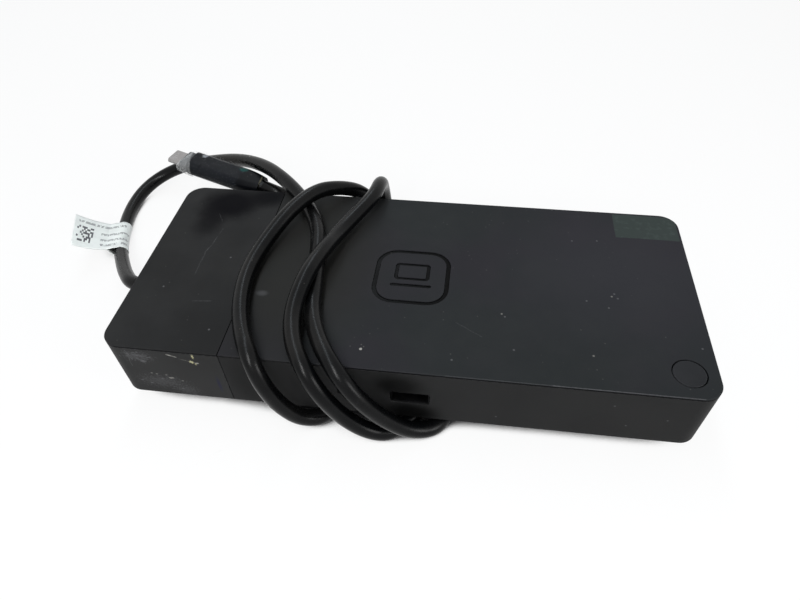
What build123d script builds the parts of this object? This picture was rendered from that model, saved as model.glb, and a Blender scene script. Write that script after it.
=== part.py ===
from build123d import *

import math
import os

# Laptop docking station: a flat two-part box (main dock plus plug-in cable module) with its host
# cord wound twice round the body.  Millimetres.  The origin is the centre of the box's outside,
# feet included.  +X runs along the box to its button end, +Y to the rear ports, +Z up.

# ---------------------------------------------------------------- driving dimensions
LENGTH = 205.0
DEPTH = 90.0
HEIGHT = 29.0
CORNER_R = 7.0
DRAFT = 1.0                 # degrees, the sides lean in towards the base
WALL = 2.0
LID_THICK = 1.8
LID_EDGE = 0.8              # the lid's rim, which lies on the walls
BASE_THICK = 2.0
FOOT_PROUD = 1.5
FIT = 0.15                  # gap between parts that slip together
PARTING = 0.3               # height and depth of the groove under the lid's rim

SEAM_X = -60.0              # the module is everything left of this
SEAM_GAP = 0.3

CORD_D = 6.0
BUTTON_D = 10.6
BUTTON_GAP = 0.35
BUTTON_TRAVEL = 0.5
BOARD_THICK = 1.6

# ---------------------------------------------------------------- levels and places
TOP_Z = HEIGHT / 2
FOOT_Z = -HEIGHT / 2
BASE_Z = FOOT_Z + FOOT_PROUD
FLOOR_Z = BASE_Z + BASE_THICK          # inside face of the base
LID_Z = TOP_Z - LID_THICK              # underside of the lid
RIM_Z = TOP_Z - LID_EDGE               # underside of its rim, top of the walls
BOARD_Z = -4.9                         # underside of both boards
BOARD_TOP = BOARD_Z + BOARD_THICK
FRONT_Y = -DEPTH / 2
REAR_Y = DEPTH / 2
LEFT_X = -LENGTH / 2
RIGHT_X = LENGTH / 2
MAIN = (SEAM_X + SEAM_GAP / 2, RIGHT_X + 1)
MODULE = (LEFT_X - 1, SEAM_X - SEAM_GAP / 2)

BUTTON_XY = (93.0, -35.3)
EMBLEM_XY = (0.2, -0.9)
EMBLEM_SIZE = 28.0
EMBLEM_DEEP = 0.8
INLAY_THICK = 0.4

# ports, by the X of their centre lines
PORT_Z = -0.3                          # height of the ports' centre lines
FRONT_USB_A_X = 4.4
FRONT_USB_C_X = -16.0
HEADSET_X = -27.0
LATCHED_VIDEO_X = (-37.0, -17.5)
WIDE_VIDEO_X = 1.0
REAR_USB_A_X = (21.0, 38.5)
NETWORK_X = 58.5
REAR_USB_C_X = 76.0
INLET_X = 87.5
MODULE_USB_C_X = -80.0
NETWORK_H = 12.6
NETWORK_Z = BOARD_TOP + NETWORK_H / 2
NETWORK_MOUTH_H = 7.0
NETWORK_MOUTH_Z = NETWORK_Z + 0.6
NETWORK_MOUTH_DEPTH = 12.5
USB_A_DEPTH = 14.0
USB_C_DEPTH = 9.0
WIDE_VIDEO_DEPTH = 11.0
LATCHED_VIDEO_DEPTH = 12.0
SHELL = 0.35                           # sheet metal of the port shells
BACK_THICK = 0.5                       # their back walls
TAB_W = 1.4                            # their solder tabs
CLEAR = 0.2                            # gap round a port shell in its cut-out
RECESS = 0.5                           # how far a port's mouth sits behind the wall
FACE_LEAN = 0.26                       # how far the drafted wall has leaned in at port height
MOUTH_Y = REAR_Y - FACE_LEAN - RECESS  # the ports' mouths, this far from the middle
INLET_BORE_R = 3.75
INLET_DEPTH = 11.0
INLET_MOUTH_R = 4.7
HEADSET_BORE_R = 1.8
HEADSET_MOUTH_R = 3.0

# right end: vents and lock slot
VENTS = 11
VENT_PITCH = 3.4
VENT_Y = -18.0                         # first vent
VENT_Z = 4.5
VENT_H = 9.0
VENT_W = 1.6
LOCK_YZ = (30.0, 3.0)

# power button and its switch
SWITCH_BOARD = (2.6, 3.8)              # levels of the switch's own board
SWITCH_TOP = 7.9                       # top of the switch plunger, touching the button's stem
SWITCH_H = 3.4
PLUNGER_D = 3.5
SWITCH_WELL = SWITCH_BOARD[1] + 0.6    # bottom of the plunger's well
PEG_X = (BUTTON_XY[0] - 12, BUTTON_XY[0] - 6)
PEG_Y = BUTTON_XY[1] + 2.0
PEG_D = 1.7

MAIN_BOSSES = [(-54.0, -38.5), (96.0, -20.0), (96.3, 37.0), (-52.5, 38.5), (25.0, -39.0)]
MODULE_BOSSES = [(-96.5, -38.5), (-96.5, 38.5), (-66.0, -38.5), (-66.0, 38.5)]
MAIN_POSTS = [(-45.0, -25.0), (-45.0, 20.0), (45.0, -30.0), (40.0, 18.0)]
MODULE_POSTS = [(-94.0, -25.0), (-94.0, 25.0)]
LID_RIBS = [-82.0, -30.0, 30.0, 60.0]  # stiffening ribs under the lids
BOSS_D = 5.4
BOSS_PILOT_D = 1.9
SCREW_D = 2.5
SCREW_HEAD_D = 4.6
SCREW_HEAD_H = 1.4
POST_D = 4.6
POST_PILOT_D = 1.6
FEET = [(-81.5, -34.0), (-81.5, 34.0), (78.0, -34.0), (78.0, 34.0)]
FOOT_L = 26.0
FOOT_W = 7.0
FOOT_SUNK = 0.5

MAIN_CHIP_XY = (-22.0, 2.0)            # the chip under the heat sink
CHIP_THICK = 1.2

FAN_XY = (72.0, 0.0)
FAN_SIZE = 42.0
FAN_LOW = 0.0
FAN_HIGH = 10.0
FAN_BLADES = 11
FAN_INTAKE_D = 27.0
FAN_PIN_D = 1.96
IMPELLER_R = 16.5

CORD_EXIT = Vector(LEFT_X, -1.5, -2.0)
BOOT_OUT = 4.5                         # how far the boot stands out of the left end
LEAD_D = 4.4
LEAD_X = (LEFT_X + 4.4, LEFT_X + 13.4)  # the stripped lead inside the module
PLUG_REAR = Vector(-75.0, 56.5, 8.0)
PLUG_AXIS = Vector(-0.95, 0.30, 0.07).normalized()
PLUG_ROLL = -2.0                       # degrees, the plug lies almost flat
PLUG_LEN = 38.0
PLUG_TAPER = 10.0                      # length of the narrowing rear part
PLUG_W = 12.0
PLUG_T = 7.0
NOSE_LEN = 4.4
RELIEF_R = 3.05
RELIEF_COLLAR = 3.0


# ---------------------------------------------------------------- shared shapes
def outer_block(inset=0.0):
    """The dock's whole outside, shrunk by inset on every side, standing between lid and base."""
    outline = RectangleRounded(LENGTH - 2 * inset, DEPTH - 2 * inset, CORNER_R - inset)
    return extrude(Pos(0, 0, TOP_Z) * outline, TOP_Z - BASE_Z, dir=(0, 0, -1), taper=DRAFT)


def layer(low, high, inset=0.0):
    """The slice of the outside between two levels."""
    slab = Pos(0, 0, (low + high) / 2) * Box(2 * LENGTH, 2 * DEPTH, high - low)
    return outer_block(inset) & slab


def ring(low, high, outside, inside):
    """A wall that follows the outside between two insets."""
    return layer(low, high, outside) - layer(low, high, inside)


def half(shape, span):
    """Keep the stretch of a shape between two X values."""
    middle = (span[0] + span[1]) / 2
    return shape & (Pos(middle, 0, 0) * Box(span[1] - span[0], 2 * DEPTH, 4 * HEIGHT))


def post(x, y, low, high, diameter):
    """An upright round bar."""
    return Pos(x, y, (low + high) / 2) * Cylinder(diameter / 2, high - low)


def block(x_span, y_span, z_span):
    """A box given by its spans."""
    centre = Pos(sum(x_span) / 2, sum(y_span) / 2, sum(z_span) / 2)
    return centre * Box(x_span[1] - x_span[0], y_span[1] - y_span[0], z_span[1] - z_span[0])


def bar_y(sketch, x, z, start, depth):
    """Extrude a sketch drawn in X and Z along +Y from start."""
    plane = Plane(origin=(x, start, z), x_dir=(1, 0, 0), z_dir=(0, -1, 0))
    return extrude(plane * sketch, -depth)


def bar_x(sketch, y, z, start, depth):
    """Extrude a sketch drawn in Y and Z along +X from start."""
    plane = Plane(origin=(start, y, z), x_dir=(0, 1, 0), z_dir=(1, 0, 0))
    return extrude(plane * sketch, depth)


def joined(shapes):
    """Fuse a list of touching shapes into one solid."""
    result = shapes[0]
    for shape in shapes[1:]:
        result = result + shape
    return result


def grouped(shapes):
    """Keep a list of like pieces as separate solids of one node."""
    return Compound(children=list(shapes))


# ---------------------------------------------------------------- port outlines
def slot_outline(width, height, grow=0.0):
    """A slot with full round ends, as a small reversible port has."""
    return SlotOverall(width + 2 * grow, height + 2 * grow)


def box_outline(width, height, grow=0.0, radius=0.4):
    """A rectangle with small rounded corners."""
    return RectangleRounded(width + 2 * grow, height + 2 * grow, radius + grow)


def grown(points, grow):
    """A face with straight sides, moved outwards by grow."""
    face = make_face(Polyline(points, close=True))
    return offset(face, grow) if grow else face


def wide_video_outline(grow=0.0):
    """A video port's mouth with both lower corners cut away."""
    half_w, top, low, cut = 7.45, 2.25, -2.25, 1.9
    points = [(-half_w, top), (half_w, top), (half_w, low + cut), (half_w - cut, low)]
    points += [(-half_w + cut, low), (-half_w, low + cut)]
    return grown(points, grow)


def latched_video_outline(grow=0.0):
    """A video port's mouth with one lower corner cut away."""
    half_w, top, low, cut = 8.05, 2.4, -2.4, 1.8
    points = [(-half_w, top), (half_w, top), (half_w, low), (-half_w + cut, low)]
    points.append((-half_w, low + cut))
    return grown(points, grow)


def usb_a_outline(grow=0.0):
    """The mouth of a full-size rectangular data port."""
    return box_outline(12.5, 5.12, grow)


def usb_c_outline(grow=0.0):
    """The mouth of a small reversible data port."""
    return slot_outline(8.34, 2.56, grow)


def network_outline(grow=0.0):
    """The outside of a network jack."""
    return box_outline(15.2, NETWORK_H, grow, 0.3)


def port_shell(outline, x, z, side, depth):
    """A port's sheet-metal shell, open at the mouth, closed at the back, with solder tabs."""
    mouth = side * MOUTH_Y
    start = mouth if side < 0 else mouth - depth
    shell = bar_y(outline(SHELL), x, z, start, depth)
    reach = outline(SHELL).bounding_box().max.X
    for edge in (-reach, reach - SHELL):
        for along in (4.0, depth - 2.0):
            y = mouth - side * along
            shell += block((x + edge, x + edge + SHELL), (y - TAB_W / 2, y + TAB_W / 2), (BOARD_TOP, z))
    inner_start = start - 1 if side < 0 else start + BACK_THICK
    return shell - bar_y(outline(0.0), x, z, inner_start, depth - BACK_THICK + 1)


def port_tongue(x, z, side, depth, width, thick, back_w, back_h, offset_z=0.0):
    """A port's plastic insert: a back block and the contact tongue that stands out of it."""
    mouth = side * MOUTH_Y
    back = mouth - side * (depth - BACK_THICK)
    root = back + side * 2.2
    tip = mouth - side * 1.2
    body_z = (z - back_h / 2, z + back_h / 2)
    tongue_z = (z + offset_z - thick / 2, z + offset_z + thick / 2)
    body = block((x - back_w / 2, x + back_w / 2), sorted((back, root)), body_z)
    return body + block((x - width / 2, x + width / 2), sorted((root, tip)), tongue_z)


def wall_cut(sketch, x, z, side):
    """The tool that cuts a sketch through the front or rear wall."""
    return bar_y(sketch, x, z, FRONT_Y - 1 if side < 0 else REAR_Y - 4, 5)


# ---------------------------------------------------------------- covers
def lip_span(span):
    """The stretch a locating lip may take: it stops short of the seam wall."""
    if span is MAIN:
        return (MAIN[0] + WALL + FIT, MAIN[1])
    return (MODULE[0], MODULE[1] - WALL - FIT)


def lid(span):
    """A flat lid with a locating lip and the fine bevel round its top edge."""
    rim = layer(RIM_Z, TOP_Z)
    rim = chamfer(rim.faces().sort_by(Axis.Z)[-1].edges(), 0.3)
    plate = layer(LID_Z, RIM_Z + 0.1, WALL + FIT)
    plate += ring(LID_Z - 2.0, LID_Z + 0.1, WALL + FIT, WALL + FIT + 1.2)
    for x in LID_RIBS:
        plate += block((x - 0.6, x + 0.6), (-30.0, 38.0), (LID_Z - 1.4, LID_Z + 0.1))
    return half(rim, span) + half(plate, lip_span(span))


def emblem(grow, low, high):
    """The lid's plain mark: a rounded square round a little screen on a stand.

    grow widens its lines, so that the grooves take the inlay; low and high are its levels.
    """
    size, line, rim = EMBLEM_SIZE + 2 * grow, 1.5 + 2 * grow, 1.2 + 2 * grow
    frame = RectangleRounded(size, size, 8.0 + grow)
    frame -= RectangleRounded(size - 2 * line, size - 2 * line, 8.0 + grow - line)
    wide, tall = 13.0 + 2 * grow, 8.8 + 2 * grow
    screen = RectangleRounded(wide, tall, 1.6) - RectangleRounded(wide - 2 * rim, tall - 2 * rim, 0.4)
    stand = Pos(0, -4.8) * SlotOverall(15.0 + 2 * grow, 1.4 + 2 * grow)
    base = Pos(*EMBLEM_XY, low)
    return [extrude(base * sketch, high - low) for sketch in (frame, Pos(0, 2.4) * screen, stand)]


def make_top_cover():
    """The main dock's lid with the button's guide collar."""
    guide_d = BUTTON_D + 2 * BUTTON_GAP
    cover = lid(MAIN) - post(*BUTTON_XY, LID_Z - 3, LID_Z - 1.8, guide_d + 2.1)
    cover += post(*BUTTON_XY, LID_Z - 1.8, LID_Z, guide_d + 2.0)
    cover -= post(*BUTTON_XY, LID_Z - 3, TOP_Z + 1, guide_d)
    for groove in emblem(0.08, TOP_Z - EMBLEM_DEEP, TOP_Z):
        cover -= groove
    return cover


def make_emblem_inlay():
    """The glossy strips that lie in the mark's grooves, below the lid's surface."""
    return grouped(emblem(0.0, TOP_Z - EMBLEM_DEEP, TOP_Z - EMBLEM_DEEP + INLAY_THICK))


def make_module_cover():
    """The cable module's lid."""
    return lid(MODULE)


def web(x, y, half_width):
    """The plan spans of the rib that ties a boss to its nearest wall."""
    if RIGHT_X - x < REAR_Y - abs(y):
        return (x, RIGHT_X), (y - half_width, y + half_width)
    return (x - half_width, x + half_width), sorted((y, math.copysign(REAR_Y, y)))


def walls(span, seam_wall, bosses):
    """The upright walls of one half with its screw bosses and the parting groove under the lid."""
    wall = half(ring(FLOOR_Z, RIM_Z, 0, WALL), span)
    wall -= ring(RIM_Z - PARTING, RIM_Z + 1, -1, PARTING)
    inside = half(layer(FLOOR_Z, LID_Z - 2.2, WALL / 2), span)
    parts = [wall, half(layer(FLOOR_Z, RIM_Z, WALL / 2), seam_wall)]
    for x, y in bosses:
        parts.append(post(x, y, FLOOR_Z, LID_Z - 2.4, BOSS_D) & inside)
        parts.append(block(*web(x, y, 0.7), (FLOOR_Z, 4.0)) & inside)
    shell = joined(parts)
    for x, y in bosses:
        shell -= post(x, y, FLOOR_Z - 1, 6.0, BOSS_PILOT_D)
    return shell


def link_window():
    """The tool for the opening that the board link passes through at the seam."""
    return block((SEAM_X - 4, SEAM_X + 4), (-16.5, 16.5), (BOARD_TOP - 2.4, BOARD_TOP + 8.4))


def make_main_walls():
    """The main dock's walls with every port, vent and lock opening."""
    shell = walls(MAIN, (MAIN[0], MAIN[0] + WALL), MAIN_BOSSES)
    front = [(usb_a_outline, FRONT_USB_A_X), (usb_c_outline, FRONT_USB_C_X)]
    rear = [(wide_video_outline, WIDE_VIDEO_X), (usb_c_outline, REAR_USB_C_X)]
    rear += [(latched_video_outline, x) for x in LATCHED_VIDEO_X]
    rear += [(usb_a_outline, x) for x in REAR_USB_A_X]
    for side, ports in ((-1, front), (1, rear)):
        for outline, x in ports:
            shell -= wall_cut(outline(SHELL + CLEAR), x, PORT_Z, side)
    shell -= wall_cut(network_outline(CLEAR), NETWORK_X, NETWORK_Z, 1)
    shell -= wall_cut(Circle(INLET_MOUTH_R + CLEAR), INLET_X, PORT_Z, 1)
    shell -= wall_cut(Circle(HEADSET_MOUTH_R + CLEAR), HEADSET_X, PORT_Z, -1)
    for row in range(VENTS):
        vent = SlotOverall(VENT_H, VENT_W, rotation=90)
        shell -= bar_x(vent, VENT_Y + VENT_PITCH * row, VENT_Z, RIGHT_X - 4, 6)
    shell -= bar_x(box_outline(7.2, 3.2), *LOCK_YZ, RIGHT_X - 4, 6)
    return shell - link_window()


def make_module_walls():
    """The module's walls with its rear port and the cord's way out."""
    shell = walls(MODULE, (MODULE[1] - WALL, MODULE[1]), MODULE_BOSSES)
    shell -= wall_cut(usb_c_outline(SHELL + CLEAR), MODULE_USB_C_X, PORT_Z, 1)
    shell -= bar_x(Circle(4.1), CORD_EXIT.Y, CORD_EXIT.Z, LEFT_X - 1, 6)
    return shell - link_window()


def base_plate(span, bosses, posts):
    """A bottom plate with locating lip, foot recesses, counterbored screw holes and board posts."""
    plate = layer(BASE_Z, FLOOR_Z, 0.0)
    plate = chamfer(plate.faces().sort_by(Axis.Z)[0].edges(), 1.2)
    lip = ring(FLOOR_Z - 0.1, FLOOR_Z + 1.6, WALL + FIT, WALL + FIT + 1.2)
    plate = half(plate, span) + half(lip, lip_span(span))
    for x, y in bosses:
        plate -= post(x, y, FLOOR_Z, FLOOR_Z + 2, BOSS_D + 1.0)
        plate -= block(*web(x, y, 1.1), (FLOOR_Z, FLOOR_Z + 2))
        plate -= post(x, y, BASE_Z - 1, FLOOR_Z + 1, SCREW_D + 0.3)
        plate -= post(x, y, BASE_Z - 1, BASE_Z + SCREW_HEAD_H - 0.2, SCREW_HEAD_D + 0.4)
    for x, y in posts:
        plate += post(x, y, FLOOR_Z - 0.1, BOARD_Z, POST_D)
        plate -= post(x, y, FLOOR_Z + 0.6, BOARD_Z + 1, POST_PILOT_D)
    for x, y in FEET:
        plate -= extrude(Pos(x, y, BASE_Z) * SlotOverall(FOOT_L + 0.4, FOOT_W + 0.4), FOOT_SUNK)
    return plate


def make_base_cover():
    """The main dock's base with the fan's intake slots."""
    plate = base_plate(MAIN, MAIN_BOSSES, MAIN_POSTS)
    for column in range(9):
        x = FAN_XY[0] - 16.0 + 4.0 * column
        plate -= extrude(Pos(x, 0, BASE_Z - 1) * SlotOverall(24.0, 1.8, rotation=90), 4)
    return plate


def make_module_base():
    """The module's base."""
    return base_plate(MODULE, MODULE_BOSSES, MODULE_POSTS)


def make_feet():
    """Four rubber feet pressed into the base."""
    foot = extrude(SlotOverall(FOOT_L, FOOT_W), FOOT_PROUD + FOOT_SUNK - 0.05)
    foot = chamfer(foot.faces().sort_by(Axis.Z)[0].edges(), 0.4)
    return grouped([Pos(x, y, FOOT_Z) * foot for x, y in FEET])


def screw(x, y, under_head, length, point=1, head_d=SCREW_HEAD_D, shank_d=SCREW_D - 0.7):
    """A pan-head screw with a cross recess; point is 1 where it points up, -1 where down."""
    head = Pos(x, y, under_head - point * SCREW_HEAD_H / 2) * Cylinder(head_d / 2, SCREW_HEAD_H)
    shank = Pos(x, y, under_head + point * length / 2) * Cylinder(shank_d / 2, length)
    cross = Box(2.6, 0.6, 0.8) + Box(0.6, 2.6, 0.8)
    return head + shank - Pos(x, y, under_head - point * (SCREW_HEAD_H - 0.3)) * cross


def case_screws(bosses):
    """The screws that hold one half's base to its bosses."""
    under_head = BASE_Z + SCREW_HEAD_H - 0.2
    return grouped([screw(x, y, under_head, 9.0) for x, y in bosses])


# ---------------------------------------------------------------- button and switch
def make_power_button():
    """A round key with a shallow dished top, a retaining flange and a stem."""
    radius = BUTTON_D / 2
    dish_r = 60.0
    cap = post(0, 0, LID_Z - 2.0, TOP_Z, BUTTON_D)
    cap = fillet(cap.faces().sort_by(Axis.Z)[-1].edges(), 0.35)
    cap -= Pos(0, 0, TOP_Z + dish_r - 0.25) * Sphere(dish_r)
    flange = post(0, 0, LID_Z - 2.7, LID_Z - 1.9, BUTTON_D + 2.0)
    stem = post(0, 0, SWITCH_TOP, LID_Z - 2.6, 3.4)
    key = cap + flange + stem
    return Pos(*BUTTON_XY, 0) * key


def make_tactile_switch():
    """The body of the tactile switch, with the round well of its plunger."""
    x, y = BUTTON_XY
    body = block((x - 3, x + 3), (y - 3, y + 3), (SWITCH_BOARD[1], SWITCH_BOARD[1] + SWITCH_H))
    return body - post(x, y, SWITCH_WELL, SWITCH_TOP, PLUNGER_D + 0.1)


def make_switch_plunger():
    """The plunger that the button's stem presses."""
    return post(*BUTTON_XY, SWITCH_WELL + BUTTON_TRAVEL + 0.4, SWITCH_TOP, PLUNGER_D)


def make_switch_board():
    """A small board under the button, on two pegs that stand on the main board."""
    x, y = BUTTON_XY
    board = block((x - 14, x + 4.5), (y - 4, y + 4.5), SWITCH_BOARD)
    for peg_x in PEG_X:
        board -= post(peg_x, PEG_Y, SWITCH_BOARD[0] - 1, SWITCH_BOARD[1] + 1, PEG_D + 0.1)
    return board


def make_switch_pegs():
    """The shouldered pegs that carry the switch board."""
    pegs = []
    for x in PEG_X:
        shoulder = post(x, PEG_Y, BOARD_TOP, SWITCH_BOARD[0], 2 * PEG_D)
        pegs.append(shoulder + post(x, PEG_Y, SWITCH_BOARD[0], SWITCH_BOARD[1] + 0.6, PEG_D))
    return grouped(pegs)


# ---------------------------------------------------------------- boards and what sits on them
def boss_notches(bosses, room=3.6):
    """The notches that let a board pass its case bosses, open to the nearer long edge."""
    notches = []
    for x, y in bosses:
        y_span = sorted((y - math.copysign(room, y), math.copysign(REAR_Y, y)))
        notches.append(block((x - room, x + room), y_span, (BOARD_Z - 1, BOARD_TOP + 1)))
    return notches


def screw_holes(posts):
    """The clearance holes of a board's screws."""
    return [post(x, y, BOARD_Z - 1, BOARD_TOP + 1, 2.2) for x, y in posts]


def make_main_board():
    """The main board, notched round the bosses and drilled for its screws."""
    board = block((-55.5, 99.0), (-41.3, 41.3), (BOARD_Z, BOARD_TOP))
    board -= boss_notches(MAIN_BOSSES)
    board -= screw_holes(MAIN_POSTS)
    intake = extrude(Pos(*FAN_XY, BOARD_Z - 1) * RectangleRounded(30, 26, 6), 4)
    edge_room = block((95.0, 101.0), (-24.0, -16.0), (BOARD_Z - 1, BOARD_TOP + 1))
    corner_room = block((92.5, 101.0), (33.0, 44.0), (BOARD_Z - 1, BOARD_TOP + 1))
    return board - intake - edge_room - corner_room


def make_module_board():
    """The module's board."""
    board = block((-98.0, -63.5), (-34.0, 41.3), (BOARD_Z, BOARD_TOP))
    board -= boss_notches(MODULE_BOSSES)
    board -= screw_holes(MODULE_POSTS)
    lead_room = (CORD_EXIT.Y - LEAD_D / 2 - 0.6, CORD_EXIT.Y + LEAD_D / 2 + 0.6)
    return board - block((LEFT_X, LEAD_X[1] + 0.3), lead_room, (BOARD_Z - 1, BOARD_TOP + 1))


def make_board_screws():
    """The screws that hold both boards to their posts."""
    spots = MAIN_POSTS + MODULE_POSTS
    return grouped([screw(x, y, BOARD_TOP, 5.0, -1, head_d=4.0, shank_d=1.5) for x, y in spots])


def make_link_socket():
    """The main board's half of the board link."""
    body = block((-57.5, -52.0), (-15.0, 15.0), (BOARD_TOP, BOARD_TOP + 6.0))
    nose = block((-59.0, -57.5), (-15.0, 15.0), (BOARD_TOP + 0.4, BOARD_TOP + 6.0))
    return body + nose - block((-60.0, -54.0), (-13.2, 13.2), (BOARD_TOP + 1.6, BOARD_TOP + 4.6))


def make_link_plug():
    """The module board's half of the board link, whose blade enters the socket."""
    body = block((-66.5, -59.2), (-15.0, 15.0), (BOARD_TOP, BOARD_TOP + 6.0))
    return body + block((-59.3, -54.4), (-12.9, 12.9), (BOARD_TOP + 1.9, BOARD_TOP + 4.3))


def make_hub_chips():
    """The larger integrated circuits on both boards."""
    spots = [(*MAIN_CHIP_XY, 14.0), (-38.0, -2.0, 9.0), (4.0, -12.0, 8.0), (36.0, -14.0, 6.5)]
    spots += [(-78.0, 18.0, 10.0), (-84.0, -16.0, 7.0)]
    z_span = (BOARD_TOP, BOARD_TOP + CHIP_THICK)
    return grouped([block((x - s / 2, x + s / 2), (y - s / 2, y + s / 2), z_span) for x, y, s in spots])


def make_power_coils():
    """The cube-shaped power inductors."""
    spots = [(22.0, -8.0), (22.0, 2.0), (22.0, 12.0), (44.0, -20.0)]
    coils = []
    for x, y in spots:
        body = block((x - 3.5, x + 3.5), (y - 3.5, y + 3.5), (BOARD_TOP, BOARD_TOP + 3.8))
        coils.append(chamfer(body.edges().filter_by(Axis.Z), 1.0))
    return grouped(coils)


def make_capacitors():
    """The tall round capacitors near the power inlet."""
    spots = [(33.0, -26.0), (56.0, -31.0), (66.0, -31.0)]
    return grouped([post(x, y, BOARD_TOP, BOARD_TOP + 6.5, 6.3) for x, y in spots])


def make_heat_sink():
    """A finned heat sink on the largest chip."""
    x, y = MAIN_CHIP_XY
    low = BOARD_TOP + CHIP_THICK
    sink = block((x - 13, x + 13), (y - 11, y + 11), (low, low + 1.6))
    for row in range(9):
        fin_y = y - 10.4 + 2.6 * row
        sink += block((x - 13, x + 13), (fin_y - 0.4, fin_y + 0.4), (low + 1.5, low + 9.0))
    return sink


def make_chip_shield():
    """A folded metal can over the network circuit."""
    x_span, y_span, z_span = (42.0, 56.0), (0.5, 15.5), (BOARD_TOP, BOARD_TOP + 2.6)
    can = block(x_span, y_span, z_span)
    can = chamfer(can.faces().sort_by(Axis.Z)[-1].edges(), 0.4)
    inner = block((x_span[0] + 0.4, x_span[1] - 0.4), (y_span[0] + 0.4, y_span[1] - 0.4),
                  (z_span[0] - 1, z_span[1] - 0.4))
    return can - inner


# ---------------------------------------------------------------- fan
def make_fan_frame():
    """The blower's case: intake hole above, outlet towards the end vents, post for the rotor."""
    x, y = FAN_XY
    side = FAN_SIZE / 2
    case = extrude(Pos(x, y, FAN_LOW) * RectangleRounded(FAN_SIZE, FAN_SIZE, 4), FAN_HIGH - FAN_LOW)
    hollow_z = (FAN_LOW + 1.2, FAN_HIGH - 1.0)
    volute = extrude(Pos(x, y, hollow_z[0]) * Circle(side - 2.0), hollow_z[1] - hollow_z[0])
    outlet = block((x, x + side + 1), (y - 4, y + side - 2.0), hollow_z)
    case -= volute + outlet
    case -= post(x, y, FAN_HIGH - 2, FAN_HIGH + 1, FAN_INTAKE_D)
    return case + post(x, y, FAN_LOW + 1.1, FAN_HIGH - 3.0, FAN_PIN_D)


def make_fan_impeller():
    """The rotor: a hub bored for its post, a disc and swept blades."""
    low, high = FAN_LOW + 1.9, FAN_HIGH - 2.0
    disc = post(0, 0, low, low + 0.8, 2 * IMPELLER_R)
    hub = post(0, 0, low, high, 13.0)
    blade_path = ThreePointArc((6.0, 0), (11.5, 1.2), (IMPELLER_R - 0.3, 4.6))
    blade_z = (low + 0.7, high - 0.4)
    blade = extrude(Pos(0, 0, blade_z[0]) * trace(blade_path, 0.7), blade_z[1] - blade_z[0])
    rotor = disc + hub + [Rot(0, 0, 360.0 * n / FAN_BLADES) * blade for n in range(FAN_BLADES)]
    rotor -= post(0, 0, low - 1, high - 1.0, FAN_PIN_D + 0.1)
    return Pos(*FAN_XY, 0) * rotor


# ---------------------------------------------------------------- ports
def make_usb_a(x, side):
    """Shell and tongue of one full-size port."""
    shell = port_shell(usb_a_outline, x, PORT_Z, side, USB_A_DEPTH)
    return shell, port_tongue(x, PORT_Z, side, USB_A_DEPTH, 11.1, 1.9, 12.0, 4.7, 1.2)


def make_usb_c(x, side):
    """Shell and tongue of one small port."""
    shell = port_shell(usb_c_outline, x, PORT_Z, side, USB_C_DEPTH)
    return shell, port_tongue(x, PORT_Z, side, USB_C_DEPTH, 6.69, 0.7, 5.8, 2.4)


def make_wide_video():
    """Shell and tongue of the wide video port."""
    shell = port_shell(wide_video_outline, WIDE_VIDEO_X, PORT_Z, 1, WIDE_VIDEO_DEPTH)
    return shell, port_tongue(WIDE_VIDEO_X, PORT_Z, 1, WIDE_VIDEO_DEPTH, 11.4, 1.2, 10.8, 4.2, 0.3)


def make_latched_video(x):
    """Shell and tongue of one latched video port."""
    shell = port_shell(latched_video_outline, x, PORT_Z, 1, LATCHED_VIDEO_DEPTH)
    return shell, port_tongue(x, PORT_Z, 1, LATCHED_VIDEO_DEPTH, 12.6, 1.5, 12.2, 4.5, 0.4)


def make_network_jack():
    """The network jack's plastic housing with its stepped mouth."""
    depth = 18.0
    body = bar_y(network_outline(), NETWORK_X, NETWORK_Z, MOUTH_Y - depth, depth)
    cavity = box_outline(11.8, NETWORK_MOUTH_H, 0, 0.2)
    latch = Pos(0, -4.0) * Rectangle(6.1, 3.2)
    return body - bar_y(cavity + latch, NETWORK_X, NETWORK_MOUTH_Z, MOUTH_Y - NETWORK_MOUTH_DEPTH,
                        NETWORK_MOUTH_DEPTH + 1)


def make_network_contacts():
    """Eight spring contacts along the roof of the network jack."""
    roof = NETWORK_MOUTH_Z + NETWORK_MOUTH_H / 2
    y_span = (MOUTH_Y - NETWORK_MOUTH_DEPTH, MOUTH_Y - 2.0)
    spots = [NETWORK_X + 1.02 * (n - 3.5) for n in range(8)]
    return grouped([block((x - 0.2, x + 0.2), y_span, (roof - 0.5, roof)) for x in spots])


def make_power_inlet():
    """The round power inlet's plastic body."""
    body = block((INLET_X - 5.0, INLET_X + 5.0), (MOUTH_Y - 13.0, MOUTH_Y - 1.6), (BOARD_TOP, PORT_Z + 5.4))
    body += bar_y(Circle(INLET_MOUTH_R), INLET_X, PORT_Z, MOUTH_Y - 2.0, 2.0)
    return body - bar_y(Circle(INLET_BORE_R), INLET_X, PORT_Z, MOUTH_Y - INLET_DEPTH, INLET_DEPTH + 1)


def make_inlet_pin():
    """The centre pin of the power inlet."""
    return bar_y(Circle(0.45), INLET_X, PORT_Z, MOUTH_Y - INLET_DEPTH, INLET_DEPTH - 1.6)


def make_headset_jack():
    """The headset socket: board body and round mouth."""
    body = block((HEADSET_X - 3.3, HEADSET_X + 3.3), (1.6 - MOUTH_Y, 13.0 - MOUTH_Y),
                 (BOARD_TOP, PORT_Z + 2.9))
    body += bar_y(Circle(HEADSET_MOUTH_R), HEADSET_X, PORT_Z, -MOUTH_Y, 2.0)
    return body - bar_y(Circle(HEADSET_BORE_R), HEADSET_X, PORT_Z, -MOUTH_Y - 1, 12.5)


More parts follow.
